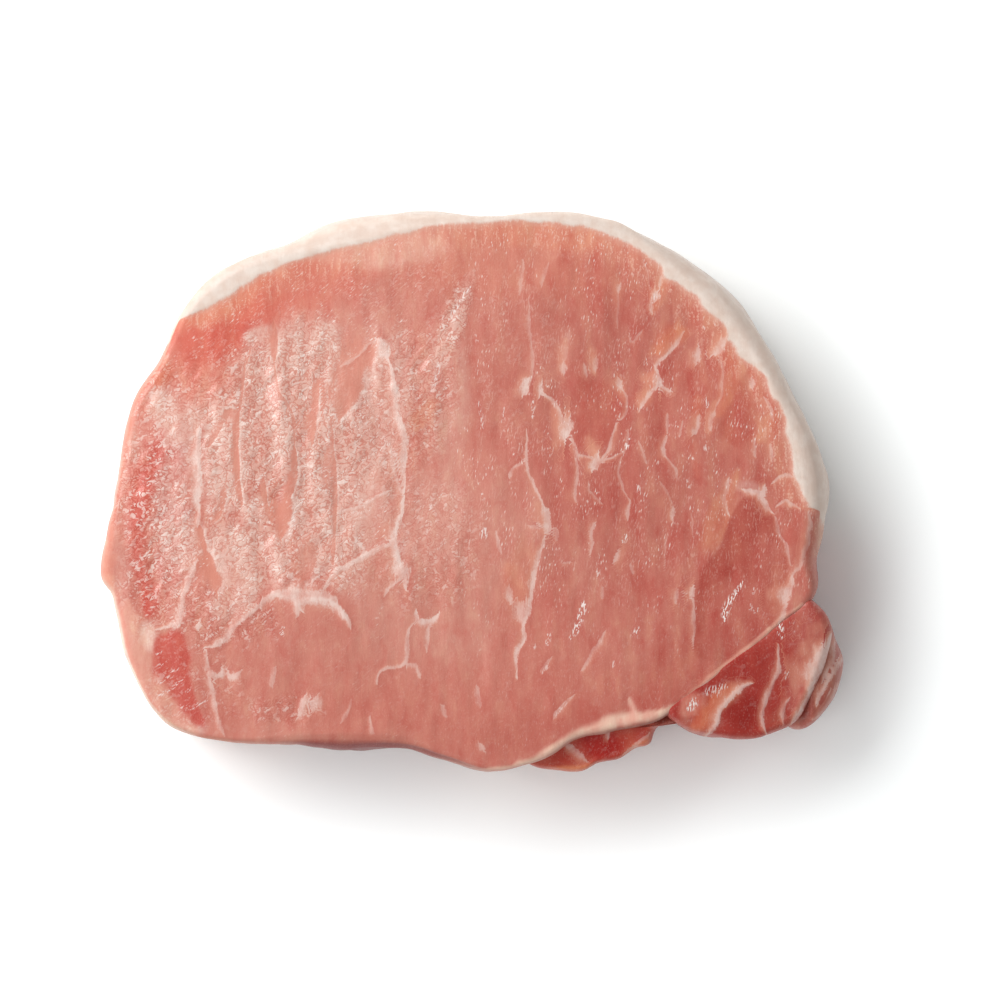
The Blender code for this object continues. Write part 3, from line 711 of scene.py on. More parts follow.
glints = [
    (0.6, 1.0, [(-3.8, 25.2), (-3.0, 26.8), (-2.0, 28.3), (-1.0, 30.0), (0.0, 30.8)]),
    (0.5, 0.9, [(-5.8, 20.0), (-5.3, 18.5), (-5.6, 16.5), (-6.3, 15.0)]),
    (0.5, 0.8, [(-27.8, -7.5), (-27.0, -4.5), (-26.5, -2.5)]),
    (0.4, 0.8, [(0.8, 13.5), (1.2, 11.0), (1.4, 9.0)]),
    (0.4, 0.8, [(4.8, 13.0), (4.5, 11.0), (3.8, 10.0)]),
    (0.5, 0.9, [(9.0, 13.5), (9.0, 10.8)]),
    (0.4, 0.8, [(0.3, 23.5), (0.6, 22.0)]),
    (0.4, 0.8, [(1.7, 4.0), (1.7, 1.8)]),
    (0.5, 0.8, [(1.2, -0.3), (1.5, -1.5)]),
    (0.8, 0.8, [(1.6, -5.5), (1.5, -7.0)]),
    (0.4, 0.7, [(-6.8, -3.0), (-6.2, -2.0)]),
    (0.4, 0.7, [(-5.3, -1.0), (-4.5, 0.0)]),
    (0.7, 0.9, [(-28.7, -21.8), (-28.6, -20.4)]),
    (0.8, 1.0, [(14.6, -22.2), (15.5, -20.8), (16.3, -18.0), (16.8, -16.4)]),
    (0.5, 0.9, [(11.0, -23.4), (11.4, -21.4)]),
    (0.6, 0.9, [(24.0, -22.0), (25.0, -20.2)]),
    (0.6, 0.9, [(22.4, -7.8), (23.0, -6.6)]),
    (0.5, 0.8, [(18.7, -11.0), (18.7, -13.2)]),
    (0.4, 0.7, [(20.8, -26.6), (21.2, -25.6)]),
    (0.4, 0.7, [(9.0, -23.9), (9.3, -22.9)]),
    (0.4, 0.6, [(10.3, -27.6), (11.5, -25.8)]),
    (0.4, 0.6, [(12.2, -34.0), (13.4, -32.4), (15.0, -30.8)]),
    (1.0, 1.0, [(37.6, -20.2), (37.8, -18.1), (38.4, -16.9), (39.3, -15.8), (40.4, -13.6)]),
    (0.5, 0.8, [(42.4, -14.4), (41.9, -15.6)]),
    (0.6, 0.8, [(41.5, -17.0), (41.7, -17.9)]),
    (0.5, 0.8, [(42.4, -18.4), (42.7, -17.6)]),
    (0.7, 0.8, [(22.9, 6.2), (23.4, 8.0)]),
    (0.5, 0.7, [(24.7, 1.0), (24.9, -0.6)]),
    (0.5, 0.7, [(32.1, 1.8), (32.4, -0.6)]),
    (0.6, 0.7, [(35.0, 14.0), (35.1, 12.6)]),
    (0.5, 0.7, [(34.7, 7.6), (35.0, 5.8)]),
    (0.6, 0.8, [(27.3, 29.6), (26.9, 28.2)]),
    (0.5, 0.7, [(26.0, 35.0), (25.6, 33.6)]),
]
# short strokes over the red spot, all leaning the same way: middle and length
shortGlints = [
    (-46.9, -26.2, 1.5), (-45.0, -27.0, 1.2), (-45.8, -28.1, 1.4), (-46.9, -28.7, 1.0),
    (-44.2, -28.9, 1.3), (-45.4, -29.8, 1.4), (-46.8, -30.6, 1.5), (-42.9, -30.1, 0.9),
    (-41.6, -32.4, 1.8), (-40.4, -31.6, 1.0), (-45.1, -24.6, 0.9), (-47.2, -24.4, 0.9),
    (-43.6, -32.6, 1.0),
]
for atX, atY, size in shortGlints:
    start = (atX - 0.55 * size, atY - 0.28 * size)
    end = (atX + 0.55 * size, atY + 0.34 * size)
    glints.append((0.38, 0.9, [start, end]))
sideGlints = [
    (0.9, 1.0, [(46.1, -20.0), (46.3, -22.2)]),
    (0.5, 0.8, [(47.3, -26.8), (47.0, -28.4)]),
    (1.1, 1.0, [(32.4, -33.0), (33.5, -31.4)]),
    (0.8, 0.7, [(34.6, -30.6), (36.2, -29.8), (38.2, -29.4)]),
    (0.6, 0.6, [(36.0, -31.0), (37.0, -30.4)]),
    (0.5, 0.8, [(48.4, -35.6), (49.0, -34.8)]),
]

# where the wet surface is crinkled: x, y, half sizes, turn, strength
crinkles = [
    (-28.0, 8.0, 17.0, 19.0, 0.0, 1.0),
    (-28.0, -8.0, 15.0, 9.0, 0.0, 0.95),
    (-47.0, -5.0, 7.0, 17.0, 0.0, 1.0),
    (-46.0, 14.0, 6.0, 8.0, 0.0, 0.7),
    (-12.0, 12.0, 9.0, 14.0, -20.0, 0.75),
    (-8.0, -8.0, 11.0, 11.0, 0.0, 0.5),
    (-38.0, -18.0, 9.0, 6.0, 0.0, 0.8),
    (-42.0, -30.0, 8.0, 7.0, 0.0, 0.35),
    (-10.0, 30.0, 14.0, 8.0, 0.0, 0.2),
    (6.0, 18.0, 9.0, 16.0, 0.0, 0.15),
    (-28.0, -33.0, 6.0, 2.5, 0.0, 0.6),
    (-3.0, 25.2, 2.2, 8.5, -20.0, 0.9),
]
# where a pale film lies over the crinkles, paler still from a painted sheen: x, y, half sizes, turn,
# strength
sheenyFilmPatches = [
    (-27.0, 13.0, 10.0, 13.0, 0.0, 1.0),
    (-37.0, 6.0, 7.5, 9.0, 0.0, 1.0),
    (-43.5, 9.5, 4.0, 3.6, 30.0, 1.0),
    (-46.6, 12.6, 2.6, 2.8, 0.0, 0.9),
    (-36.6, -8.2, 3.0, 3.8, 15.0, 1.0),
    (-32.8, -3.2, 2.4, 3.0, 0.0, 1.0),
    (-24.4, -3.6, 3.6, 3.2, 20.0, 1.0),
    (-44.0, -7.6, 4.0, 5.0, 0.0, 0.8),
    (-45.0, 0.0, 3.0, 5.0, 0.0, 0.5),
    (-37.5, 1.6, 3.0, 1.6, 0.0, 0.8),
    (-21.0, -1.0, 8.0, 13.0, 0.0, 1.0),
    (-15.0, 11.0, 6.0, 13.0, -12.0, 0.7),
    (-32.0, 23.4, 3.0, 1.6, 20.0, 0.9),
    (-22.5, 22.6, 3.4, 2.6, 30.0, 0.9),
    (-33.0, -10.0, 7.0, 6.0, 0.0, 0.9),
    (-27.0, -14.4, 4.0, 1.2, 0.0, 0.7),
    (-8.0, -5.0, 8.0, 8.0, 0.0, 0.3),
    (-36.0, -17.0, 4.0, 3.0, 20.0, 0.6),
    (-52.6, -8.0, 1.6, 8.0, 0.0, 0.3),
    (-51.5, 5.0, 1.4, 6.0, -14.0, 0.3),
    (-3.0, 25.2, 1.5, 8.0, -20.0, 0.7),
]
# dull, slightly sunk bundles between them: width, share, path
dullBundles = [
    (0.35, 0.9, [(-33.4, 21.4), (-34.4, 18.4), (-34.8, 14.6), (-34.9, 12.0)]),
    (0.9, 1.0, [(-35.1, 12.6), (-35.7, 9.0), (-35.6, 5.0), (-35.4, 1.5), (-34.8, -2.0)]),
    (1.1, 0.7, [(-37.2, 11.4), (-35.8, 11.8)]),
    (0.8, 0.9, [(-30.0, 25.5), (-29.9, 22.5), (-30.0, 19.6)]),
    (0.35, 0.9, [(-30.0, 19.6), (-29.3, 15.0), (-28.2, 13.4), (-27.0, 10.8), (-26.8, 6.4)]),
    (0.7, 0.8, [(-37.6, 10.4), (-38.6, 8.8), (-39.8, 6.6)]),
    (0.9, 0.9, [(-26.8, 6.4), (-27.1, 2.0), (-27.9, -1.4)]),
    (1.9, 1.0, [(-27.9, -1.0), (-28.8, -4.0), (-29.0, -7.0)]),
    (0.6, 0.9, [(-31.6, 2.0), (-31.4, -0.6), (-30.9, -3.0), (-30.2, -5.0)]),
    (0.6, 0.8, [(-21.4, 11.0), (-21.1, 5.0), (-20.8, 0.0), (-20.9, -5.0), (-21.0, -11.0)]),
    (1.1, 0.8, [(-23.4, 16.4), (-23.7, 13.6), (-24.2, 10.6), (-24.2, 7.0)]),
    (1.2, 0.5, [(-21.8, 6.4), (-21.8, 0.2)]),
    (3.4, 0.8, [(-15.0, 22.2), (-17.6, 19.0), (-19.0, 15.4), (-20.0, 11.5)]),
    (0.9, 0.8, [(-37.4, 0.4), (-37.8, -2.5), (-39.0, -4.6)]),
    (0.9, 1.0, [(-41.2, -5.6), (-40.4, -9.0)]),
    (2.0, 1.0, [(-40.2, -9.6), (-39.3, -12.4), (-38.8, -14.4)]),
    (2.6, 0.5, [(-24.8, -8.4), (-25.4, -13.0)]),
    (1.2, 0.5, [(-13.0, -5.0), (-14.4, -7.4)]),
]


def strokeRatio(x, y, strokes, reach=3.0):
    # the nearest stroke at every spot: distance in half widths, the same with a side, and its strength
    ratio = np.full(len(x), 2.0 * reach)
    sided = np.full(len(x), 2.0 * reach)
    power = np.zeros(len(x))
    for width, strength, path in strokes:
        line = curveThrough(path, 5, False)
        far = reach * width
        near = np.flatnonzero(
            (x > line[:, 0].min() - far) & (x < line[:, 0].max() + far)
            & (y > line[:, 1].min() - far) & (y < line[:, 1].max() + far)
        )
        if not len(near):
            continue
        atX, atY = x[near], y[near]
        halfWidth = 0.5 * width * (1.0 + 0.4 * cloud(atX / 1.1, atY / 1.7, seed=61))
        best, bestSided = ratio[near], sided[near]
        bestPower = power[near]
        spans = len(line) - 1
        for index in range(spans):
            startX, startY = line[index]
            stepX, stepY = line[index + 1] - line[index]
            size = max(stepX ** 2 + stepY ** 2, 1e-9)
            share = np.clip(((atX - startX) * stepX + (atY - startY) * stepY) / size, 0.0, 1.0)
            gap = np.hypot(atX - startX - share * stepX, atY - startY - share * stepY)
            along = (index + share) / spans
            taper = 0.35 + 0.65 * np.clip(np.minimum(along, 1.0 - along) / 0.25, 0.0, 1.0)
            value = gap / (halfWidth * taper)
            side = np.sign(stepX * (atY - startY) - stepY * (atX - startX))
            closer = value < best
            best = np.where(closer, value, best)
            bestSided = np.where(closer, side * value, bestSided)
            bestPower = np.where(closer, strength * min(1.0, 0.4 + 0.6 * width), bestPower)
        ratio[near], sided[near], power[near] = best, bestSided, bestPower
    return ratio, sided, power


def outlineShare(x, y, softness, points):
    # 1 inside a closed outline, 0 outside
    loop = curveThrough(points, 8, True)
    middle = loop.mean(axis=0)
    edge = RoundTable(middle, loop, np.hypot(loop[:, 0] - middle[0], loop[:, 1] - middle[1]))
    gap = edge.at(np.arctan2(y - middle[1], x - middle[0])) - np.hypot(x - middle[0], y - middle[1])
    return smooth(-softness, softness, gap + 0.4 * softness * cloud(x / 0.8, y / 1.4, seed=7))


def patchShare(x, y, patch):
    # 1 inside a soft turned ellipse, 0 outside
    atX, atY, halfX, halfY, turn = patch[:5]
    turn = math.radians(turn)
    dx = x - atX
    dy = y - atY
    u = (dx * math.cos(turn) + dy * math.sin(turn)) / halfX
    v = (dy * math.cos(turn) - dx * math.sin(turn)) / halfY
    ragged = 0.12 * cloud(x / 3.0, y / 5.0, seed=5) + 0.08 * cloud(x / 1.1, y / 2.2, seed=6)
    return smooth(1.25, 0.55, np.hypot(u, v) + ragged)


albedoShare = 0.712  # what a surface must reflect to look as bright as its paint under these lights
gleam = 0.014        # the even gleam a moist surface adds to its paint


def paint(colour):
    # a display colour, 0 to 255, as linear reflectance
    share = np.asarray(colour, float) / 255.0
    linear = np.where(share <= 0.04045, share / 12.92, ((share + 0.055) / 1.055) ** 2.4)
    return np.maximum(linear - gleam, 0.003) * albedoShare


def storeColour(piece, name, values):
    layer = piece.data.attributes.new(name, "FLOAT_COLOR", "POINT")
    layer.data.foreach_set("color", np.ascontiguousarray(values, dtype=np.float32).ravel())


def meshArrays(piece):
    data = piece.data
    spots = np.empty(len(data.vertices) * 3)
    normals = np.empty(len(data.vertices) * 3)
    data.vertices.foreach_get("co", spots)
    data.vertices.foreach_get("normal", normals)
    return spots.reshape(-1, 3) / mm, normals.reshape(-1, 3)


def moveMesh(piece, spots):
    piece.data.vertices.foreach_set("co", (spots * mm).ravel())
    piece.data.update()


def facing(normals):
    # shares of cut face, underside and wall
    onTop = smooth(0.45, 0.85, normals[:, 2])
    under = smooth(0.45, 0.85, -normals[:, 2])
    return onTop, under, 1.0 - onTop - under


def wallLumps(x, y, z, broad, size):
    fine = 0.12 * cloud(x / 2.4, y / 2.4, z / 5.0, seed=42)
    return broad * cloud(x / size, y / size, z / 6.0, seed=41) + fine


def layOver(tone, share, colour):
    return tone * (1.0 - share[:, None]) + paint(colour) * share[:, None]


def toneOf(x, y, looks):
    tone = np.tile(paint(looks["tone"]), (len(x), 1))
    for patch in looks["patches"]:
        tone = layOver(tone, patch[6] * patchShare(x, y, patch), patch[5])
    for softness, strength, colour, points in looks.get("outlined", []):
        tone = layOver(tone, strength * outlineShare(x, y, softness, points), colour)
    for width, softness, strength, colour, path in looks.get("bands", []):
        ratio = strokeRatio(x, y, [(width, 1.0, path)])[0]
        tone = layOver(tone, strength * smooth(1.0 + softness, 1.0 - softness, ratio), colour)
    return tone


def linesOf(x, y, looks):
    # seams follow wobbling paths; glints stay where they are put
    wobbleX = x + 0.20 * cloud(x / 1.6, y / 1.6, seed=21) + 0.07 * cloud(x / 0.6, y / 0.6, seed=22)
    wobbleY = y + 0.20 * cloud(x / 1.6, y / 1.6, seed=23) + 0.07 * cloud(x / 0.6, y / 0.6, seed=24)
    return strokeRatio(wobbleX, wobbleY, looks["seams"]), strokeRatio(x, y, looks["glints"])


# colours that are laid over a muscle's own tones
dressPaints = {
    # painted shade in the hollows of the film's folds
    "foldShadeInFilm": (214, 140, 122),
    "besideFat": (224, 148, 122),
    "grooveOnWall": (140, 70, 68),
    "tabAtCapEnd": (228, 188, 162),
    "smallMuscleWall": (198, 116, 104),
}
beyond = 6.0     # a distance or ratio this large is well away from any edge or line

# what the loin's wall shows where no fat covers it: a spot on the outline and a colour
wallPaints = [
    ((-50.0, 16.0), (224, 160, 142)), ((-53.6, 3.0), (228, 176, 160)),
    ((-56.1, -12.4), (226, 168, 152)), ((-54.0, -18.0), (236, 208, 192)),
    ((-51.9, -26.9), (240, 224, 208)), ((-46.8, -34.7), (228, 182, 158)),
    ((-40.0, -37.6), (205, 134, 114)), ((-30.0, -38.1), (204, 136, 120)),
    ((-25.0, -38.3), (152, 80, 76)), ((-15.0, -39.0), (148, 74, 70)),
    ((-6.0, -40.3), (170, 100, 90)), ((3.0, -42.4), (212, 156, 138)),
    # the brown at (27, -35) is painted shade of the slit under the fat band
    ((12.0, -40.0), (206, 150, 134)), ((27.0, -35.0), (160, 100, 86)),
    ((45.0, -22.0), (176, 108, 96)), ((52.5, -12.0), (206, 124, 108)),
    ((53.3, -5.0), (220, 148, 130)),
]


def dressLoin(piece, looks):
    spots, normals = meshArrays(piece)
    x, y, z = spots.T
    angle = np.arctan2(y, x)
    reach = np.hypot(x, y)
    onTop, under, wall = facing(normals)

    middle = loin["middle"]
    loop = curveThrough(loin["stations"], loopSteps, True)
    outer = RoundTable(middle, loop, np.hypot(loop[:, 0], loop[:, 1])).at(angle)
    cutEdge = outer - RoundTable(middle, loop, loop[:, 2]).at(angle)
    lean = curveThrough(leanEdge, 20, False)
    leanAngles = np.arctan2(lean[:, 1], lean[:, 0])
    leanReach = RoundTable(middle, lean, np.hypot(lean[:, 0], lean[:, 1])).at(angle)
    inCap = (angle > leanAngles.min()) & (angle < leanAngles.max())
    depth = np.where(inCap, np.maximum(cutEdge - leanReach, 0.0), 0.0)

    # how far inside the fat cap each spot lies, in millimetres
    wander = 0.28 * cloud(x / 2.4, y / 2.4, seed=11) + 0.12 * cloud(x / 0.9, y / 0.9, seed=12)
    leanOnly = beyond * smooth(0.55, 0.0, depth)
    slant = 0.10 * (z - 12.0)
    rightEnd = 0.6 * (y + 5.0 - slant)
    leftEnd = x + y + 23.0 + slant + 2.6 * cloud(z / 5.0, x / 9.0, seed=47)
    onWall = np.minimum(rightEnd, leftEnd)     # the cap's two ends on the wall
    inFat = (
        onTop * (reach - cutEdge + depth + wander - leanOnly)
        + under * (reach - outer + rounding["footInset"] + depth + wander - leanOnly)
        + wall * (onWall + 2.5 * wander)
    )
    inFat = np.clip(inFat, -beyond, beyond)
    rim = smooth(-0.3, 0.5, inFat)

    (ratio, sided, power), (glint, _, glintPower) = linesOf(x, y, looks)
    dullRatio, dullSided, dullPower = strokeRatio(x, y, dullBundles)
    dull = dullPower * smooth(1.7, 0.5, dullRatio)
    crinkle = np.full(len(x), 0.05)
    for patch in crinkles:
        crinkle = np.maximum(crinkle, patch[5] * patchShare(x, y, patch))
    crinkle *= (1.0 - rim) * (onTop + 0.5 * under)
    # how much pale film, with its painted sheen, lies on each spot
    sheenyFilm = np.zeros(len(x))
    for patch in sheenyFilmPatches:
        sheenyFilm = np.maximum(sheenyFilm, patch[5] * patchShare(x, y, patch))
    sheenyFilm *= (1.0 - rim) * onTop

    # the film is gathered in long upright folds; its painted sheen is brighter on their tops and shade
    # is painted in their hollows
    folds = cloud((x + 0.10 * y) / 2.3, y / 13.0, seed=71) + 0.35 * cloud(x / 1.2, y / 6.0, seed=72)
    filmed = crinkle * smooth(4.0, -6.0, x)
    sheenyFilm *= 0.72 + 0.28 * smooth(-0.45, 0.15, folds)

    tone = toneOf(x, y, looks)
    tone = layOver(tone, 0.35 * filmed * smooth(-0.10, -0.60, folds), dressPaints["foldShadeInFilm"])
    tone = layOver(tone, 0.40 * smooth(-5.5, -1.0, inFat), dressPaints["besideFat"])
    wallTone = np.ones((len(x), 3))
    outline = np.array([spot for spot, _ in wallPaints])
    colours = np.array([paint(colour) for _, colour in wallPaints])
    for channel in range(3):
        wallTone[:, channel] = RoundTable(middle, outline, colours[:, channel]).at(angle)
    grooved = smooth(-36.0, -37.5, y) * smooth(-28.0, -24.0, x) * smooth(2.0, -3.0, x) * wall
    grooves = cloud(x / 9.0, z / 1.9, seed=44)
    grooved = grooved * smooth(0.0, 0.6, grooves)
    wallTone = layOver(wallTone, 0.5 * grooved, dressPaints["grooveOnWall"])
    tab = smooth(51.0, 52.0, x) * smooth(-10.4, -9.4, y) * smooth(-4.4, -5.4, y)
    tab *= smooth(9.0, 14.0, z)
    wallTone = layOver(wallTone, 0.6 * tab, dressPaints["tabAtCapEnd"])
    tone = tone * (1.0 - wall[:, None]) + wallTone * wall[:, None]

    # relief of the cut face: bundles, folds, wet wrinkles, seams, a slightly proud fat rim
    bundles = 0.12 * cloud(x / 3.2, y / 9.0, seed=31) + 0.05 * cloud(x / 1.3, y / 3.2, seed=32)
    across = 0.79 * x - 0.62 * y
    along = 0.62 * x + 0.79 * y
    wrinkles = 0.09 * cloud(across, along / 2.4, seed=33) + 0.03 * cloud(x / 0.9, y / 0.9, seed=34)
    seamCore = power * np.exp(-0.8 * ratio ** 2)
    wetSide = smooth(-4.0, -16.0, x)
    # all in millimetres
    relief = (
        bundles * (1.0 - 0.6 * rim) + 0.20 * folds * filmed
        + wrinkles * crinkle * (1.0 - dull) - 0.05 * dull
        + seamCore * (0.17 * wetSide - 0.05) + 0.14 * rim * smooth(0.2, 0.9, depth)
    )
    spots[:, 2] += onTop * relief
    # the cap's outer slope: a crease beside the cut face; shade is painted into the crease, onto the
    # outer slope and the wall, and over the east side of the cap, uneven in streaks along the wall
    outwards = reach - cutEdge
    flared = smooth(0.8, 1.8, RoundTable(middle, loop, loop[:, 2]).at(angle))
    wavering = outwards + 0.1 - 0.3 * cloud(angle * 9.0, 0.0, seed=46)
    crease = np.exp(-(wavering / 0.28) ** 2) * flared
    streaksAlong = cloud(angle * 16.0, z / 1.7, seed=45)
    eastward = smooth(8.0, 30.0, x)
    sloping = np.maximum(smooth(-0.2, 0.6, outwards), wall)
    fatShade = 0.45 * crease + (0.35 + 0.35 * streaksAlong + 0.15 * eastward) * sloping
    fatShade = np.clip(fatShade + 0.22 * eastward * onTop, 0.0, 1.0)
    spots[:, 2] -= 0.22 * crease * onTop
    lumps = wallLumps(x, y, z, 0.35, 7.0) - 0.35 * grooved
    spots[:, :2] += normals[:, :2] * (wall * lumps)[:, None]
    moveMesh(piece, spots)

    away = beyond * wall
    storeColour(piece, "tone", np.column_stack([tone, glintPower * onTop]))
    storeColour(piece, "masks", np.column_stack([inFat, crinkle, sheenyFilm, wall]))
    storeColour(piece, "lines", np.column_stack([ratio + away, sided + away, power, glint + away]))
    # the fourth channel is the painted shade of the fat cap
    dullLines = [dullRatio + away, dullSided + away, dullPower, fatShade]
    storeColour(piece, "bundles", np.column_stack(dullLines))


def dressSmall(piece, looks):
    spots, normals = meshArrays(piece)
    x, y, z = spots.T
    onTop, _, wall = facing(normals)
    (ratio, sided, power), (glint, _, glintPower) = linesOf(x, y, looks)
    tone = layOver(toneOf(x, y, looks), 0.55 * wall, dressPaints["smallMuscleWall"])
    seamCore = power * np.exp(-0.8 * ratio ** 2)
    spots[:, 2] += onTop * (0.2 * cloud(x / 3.0, y / 5.0, seed=51) + 0.08 * seamCore)
    spots[:, :2] += normals[:, :2] * (wall * wallLumps(x, y, z, 0.3, 5.0))[:, None]
    moveMesh(piece, spots)
    plain = np.ones(len(x))
    storeColour(piece, "tone", np.column_stack([tone, glintPower]))
    storeColour(piece, "masks", np.column_stack([-beyond * plain, 0.12 * plain, 0.0 * plain, wall]))
    storeColour(piece, "lines", np.column_stack([ratio, sided, power, glint]))
    noBundles = [beyond * plain, beyond * plain, 0.0 * plain, 0.0 * plain]
    storeColour(piece, "bundles", np.column_stack(noBundles))


# ---- finishes ----

# colours that are laid over the tones, as they should look
porkPaints = {
    "fleck": (228, 172, 156),
    # the pale wet film together with its painted sheen
    "filmAndSheen": (230, 190, 176),
    # painted highlight on the tops of the film's wrinkles
    "crestHighlight": (246, 229, 220),
    "bareBundle": (216, 140, 120),
    "bundleEdge": (244, 218, 206),
    "seamHalo": (226, 168, 150),
    "seamGlow": (228, 160, 134),
    "seam": (238, 212, 202),
    "combedFibre": (240, 192, 172),
    "underFat": (229, 182, 163),
    "deepFat": (227, 204, 190),
    "paleFat": (237, 222, 211),
    # painted shade on the fat cap's crease, outer slope and east side
    "shadedFat": (220, 197, 183),
    "faintSpark": (238, 192, 178),
    "spark": (247, 229, 221),
    "streak": (251, 240, 234),
}
# factors that shift a colour without hiding it
porkTints = {
    "paleStrand": (1.10, 1.24, 1.26),
    "darkStrand": (0.95, 0.84, 0.84),
    "paleBlush": (1.06, 1.22, 1.18),
    "darkBlush": (0.94, 0.76, 0.76),
    "paleLobe": (1.08, 1.28, 1.20),
    "darkLobe": (0.93, 0.70, 0.70),
    # painted shade in the thin creases of the film
    "creaseShadeInFilm": (0.84, 0.58, 0.53),
    # painted shade on one side of a seam
    "shadeBesideSeam": (0.90, 0.72, 0.71),
    # painted light: lifts the fat on the wall
    "litFatOnWall": (1.06, 1.04, 1.02),
}


def shownAs(name):
    return tuple(paint(porkPaints[name]))


class Wire:
    # an output socket; sums and products of wires add Math nodes
    def __init__(self, bench, socket):
        self.bench = bench
        self.socket = socket

    def join(self, operation, first, second):
        return self.bench.add("ShaderNodeMath", {"operation": operation}, {0: first, 1: second})

    def __add__(self, other):
        return self.join("ADD", self, other)

    def __radd__(self, other):
        return self.join("ADD", other, self)

    def __sub__(self, other):
        return self.join("SUBTRACT", self, other)

    def __rsub__(self, other):
        return self.join("SUBTRACT", other, self)

    def __mul__(self, other):
        return self.join("MULTIPLY", self, other)

    def __rmul__(self, other):
        return self.join("MULTIPLY", other, self)


class Bench:
    # one material's nodes
    def __init__(self, name):
        self.material = bpy.data.materials.new(name)
        self.material.use_nodes = True
        self.nodes = self.material.node_tree.nodes
        self.links = self.material.node_tree.links
        self.surface = self.nodes["Principled BSDF"]

    def feed(self, socket, value):
        if isinstance(value, Wire):
            self.links.new(value.socket, socket)
        elif socket.type == "RGBA" and len(value) == 3:
            socket.default_value = (*value, 1.0)
        else:
            socket.default_value = value

    def add(self, kind, settings=None, values=None, out=0):
        node = self.nodes.new(kind)
        for name, value in (settings or {}).items():
            setattr(node, name, value)
        for name, value in (values or {}).items():
            self.feed(node.inputs[name], value)
        return Wire(self, node.outputs[out])

    def blend(self, share, first, second, mode="MIX"):
        return self.add(
            "ShaderNodeMix",
            {"data_type": "RGBA", "blend_type": mode, "clamp_factor": True},
            {0: share, 6: first, 7: second}, out=2,
        )

    def step(self, value, low, high):
        return self.add(
            "ShaderNodeMapRange", {"interpolation_type": "SMOOTHSTEP"},
            {"Value": value, "From Min": low, "From Max": high},
        )

    def stretch(self, space, size, turn):
        # size is a lump's length along each axis, in millimetres, after the turn
        return self.add(
            "ShaderNodeMapping", {"vector_type": "TEXTURE"},
            {"Vector": space, "Rotation": (0.0, 0.0, math.radians(turn)), "Scale": size},
        )

    def noise(self, space, size, turn=0.0, detail=2.0, roughness=0.5, flat=False):
        # a flat pattern runs straight down the walls
        placed = self.stretch(space, size, turn)
        return self.add(
            "ShaderNodeTexNoise", {"noise_dimensions": "2D" if flat else "3D"},
            {"Vector": placed, "Scale": 1.0, "Detail": detail, "Roughness": roughness},
        )

    def zigzag(self, value):
        # 0 at every whole number and 1 midway between them
        return self.add("ShaderNodeMath", {"operation": "PINGPONG"}, {0: value, 1: 0.5}) * 2.0

    def tint(self, share, colour, name):
        return self.blend(share, colour, self.blend(1.0, colour, porkTints[name], "MULTIPLY"))

    def coat(self, share, colour, name):
        return self.blend(share, colour, shownAs(name))

    def set(self, **values):
        for name, value in values.items():
            self.feed(self.surface.inputs[name.replace("_", " ")], value)


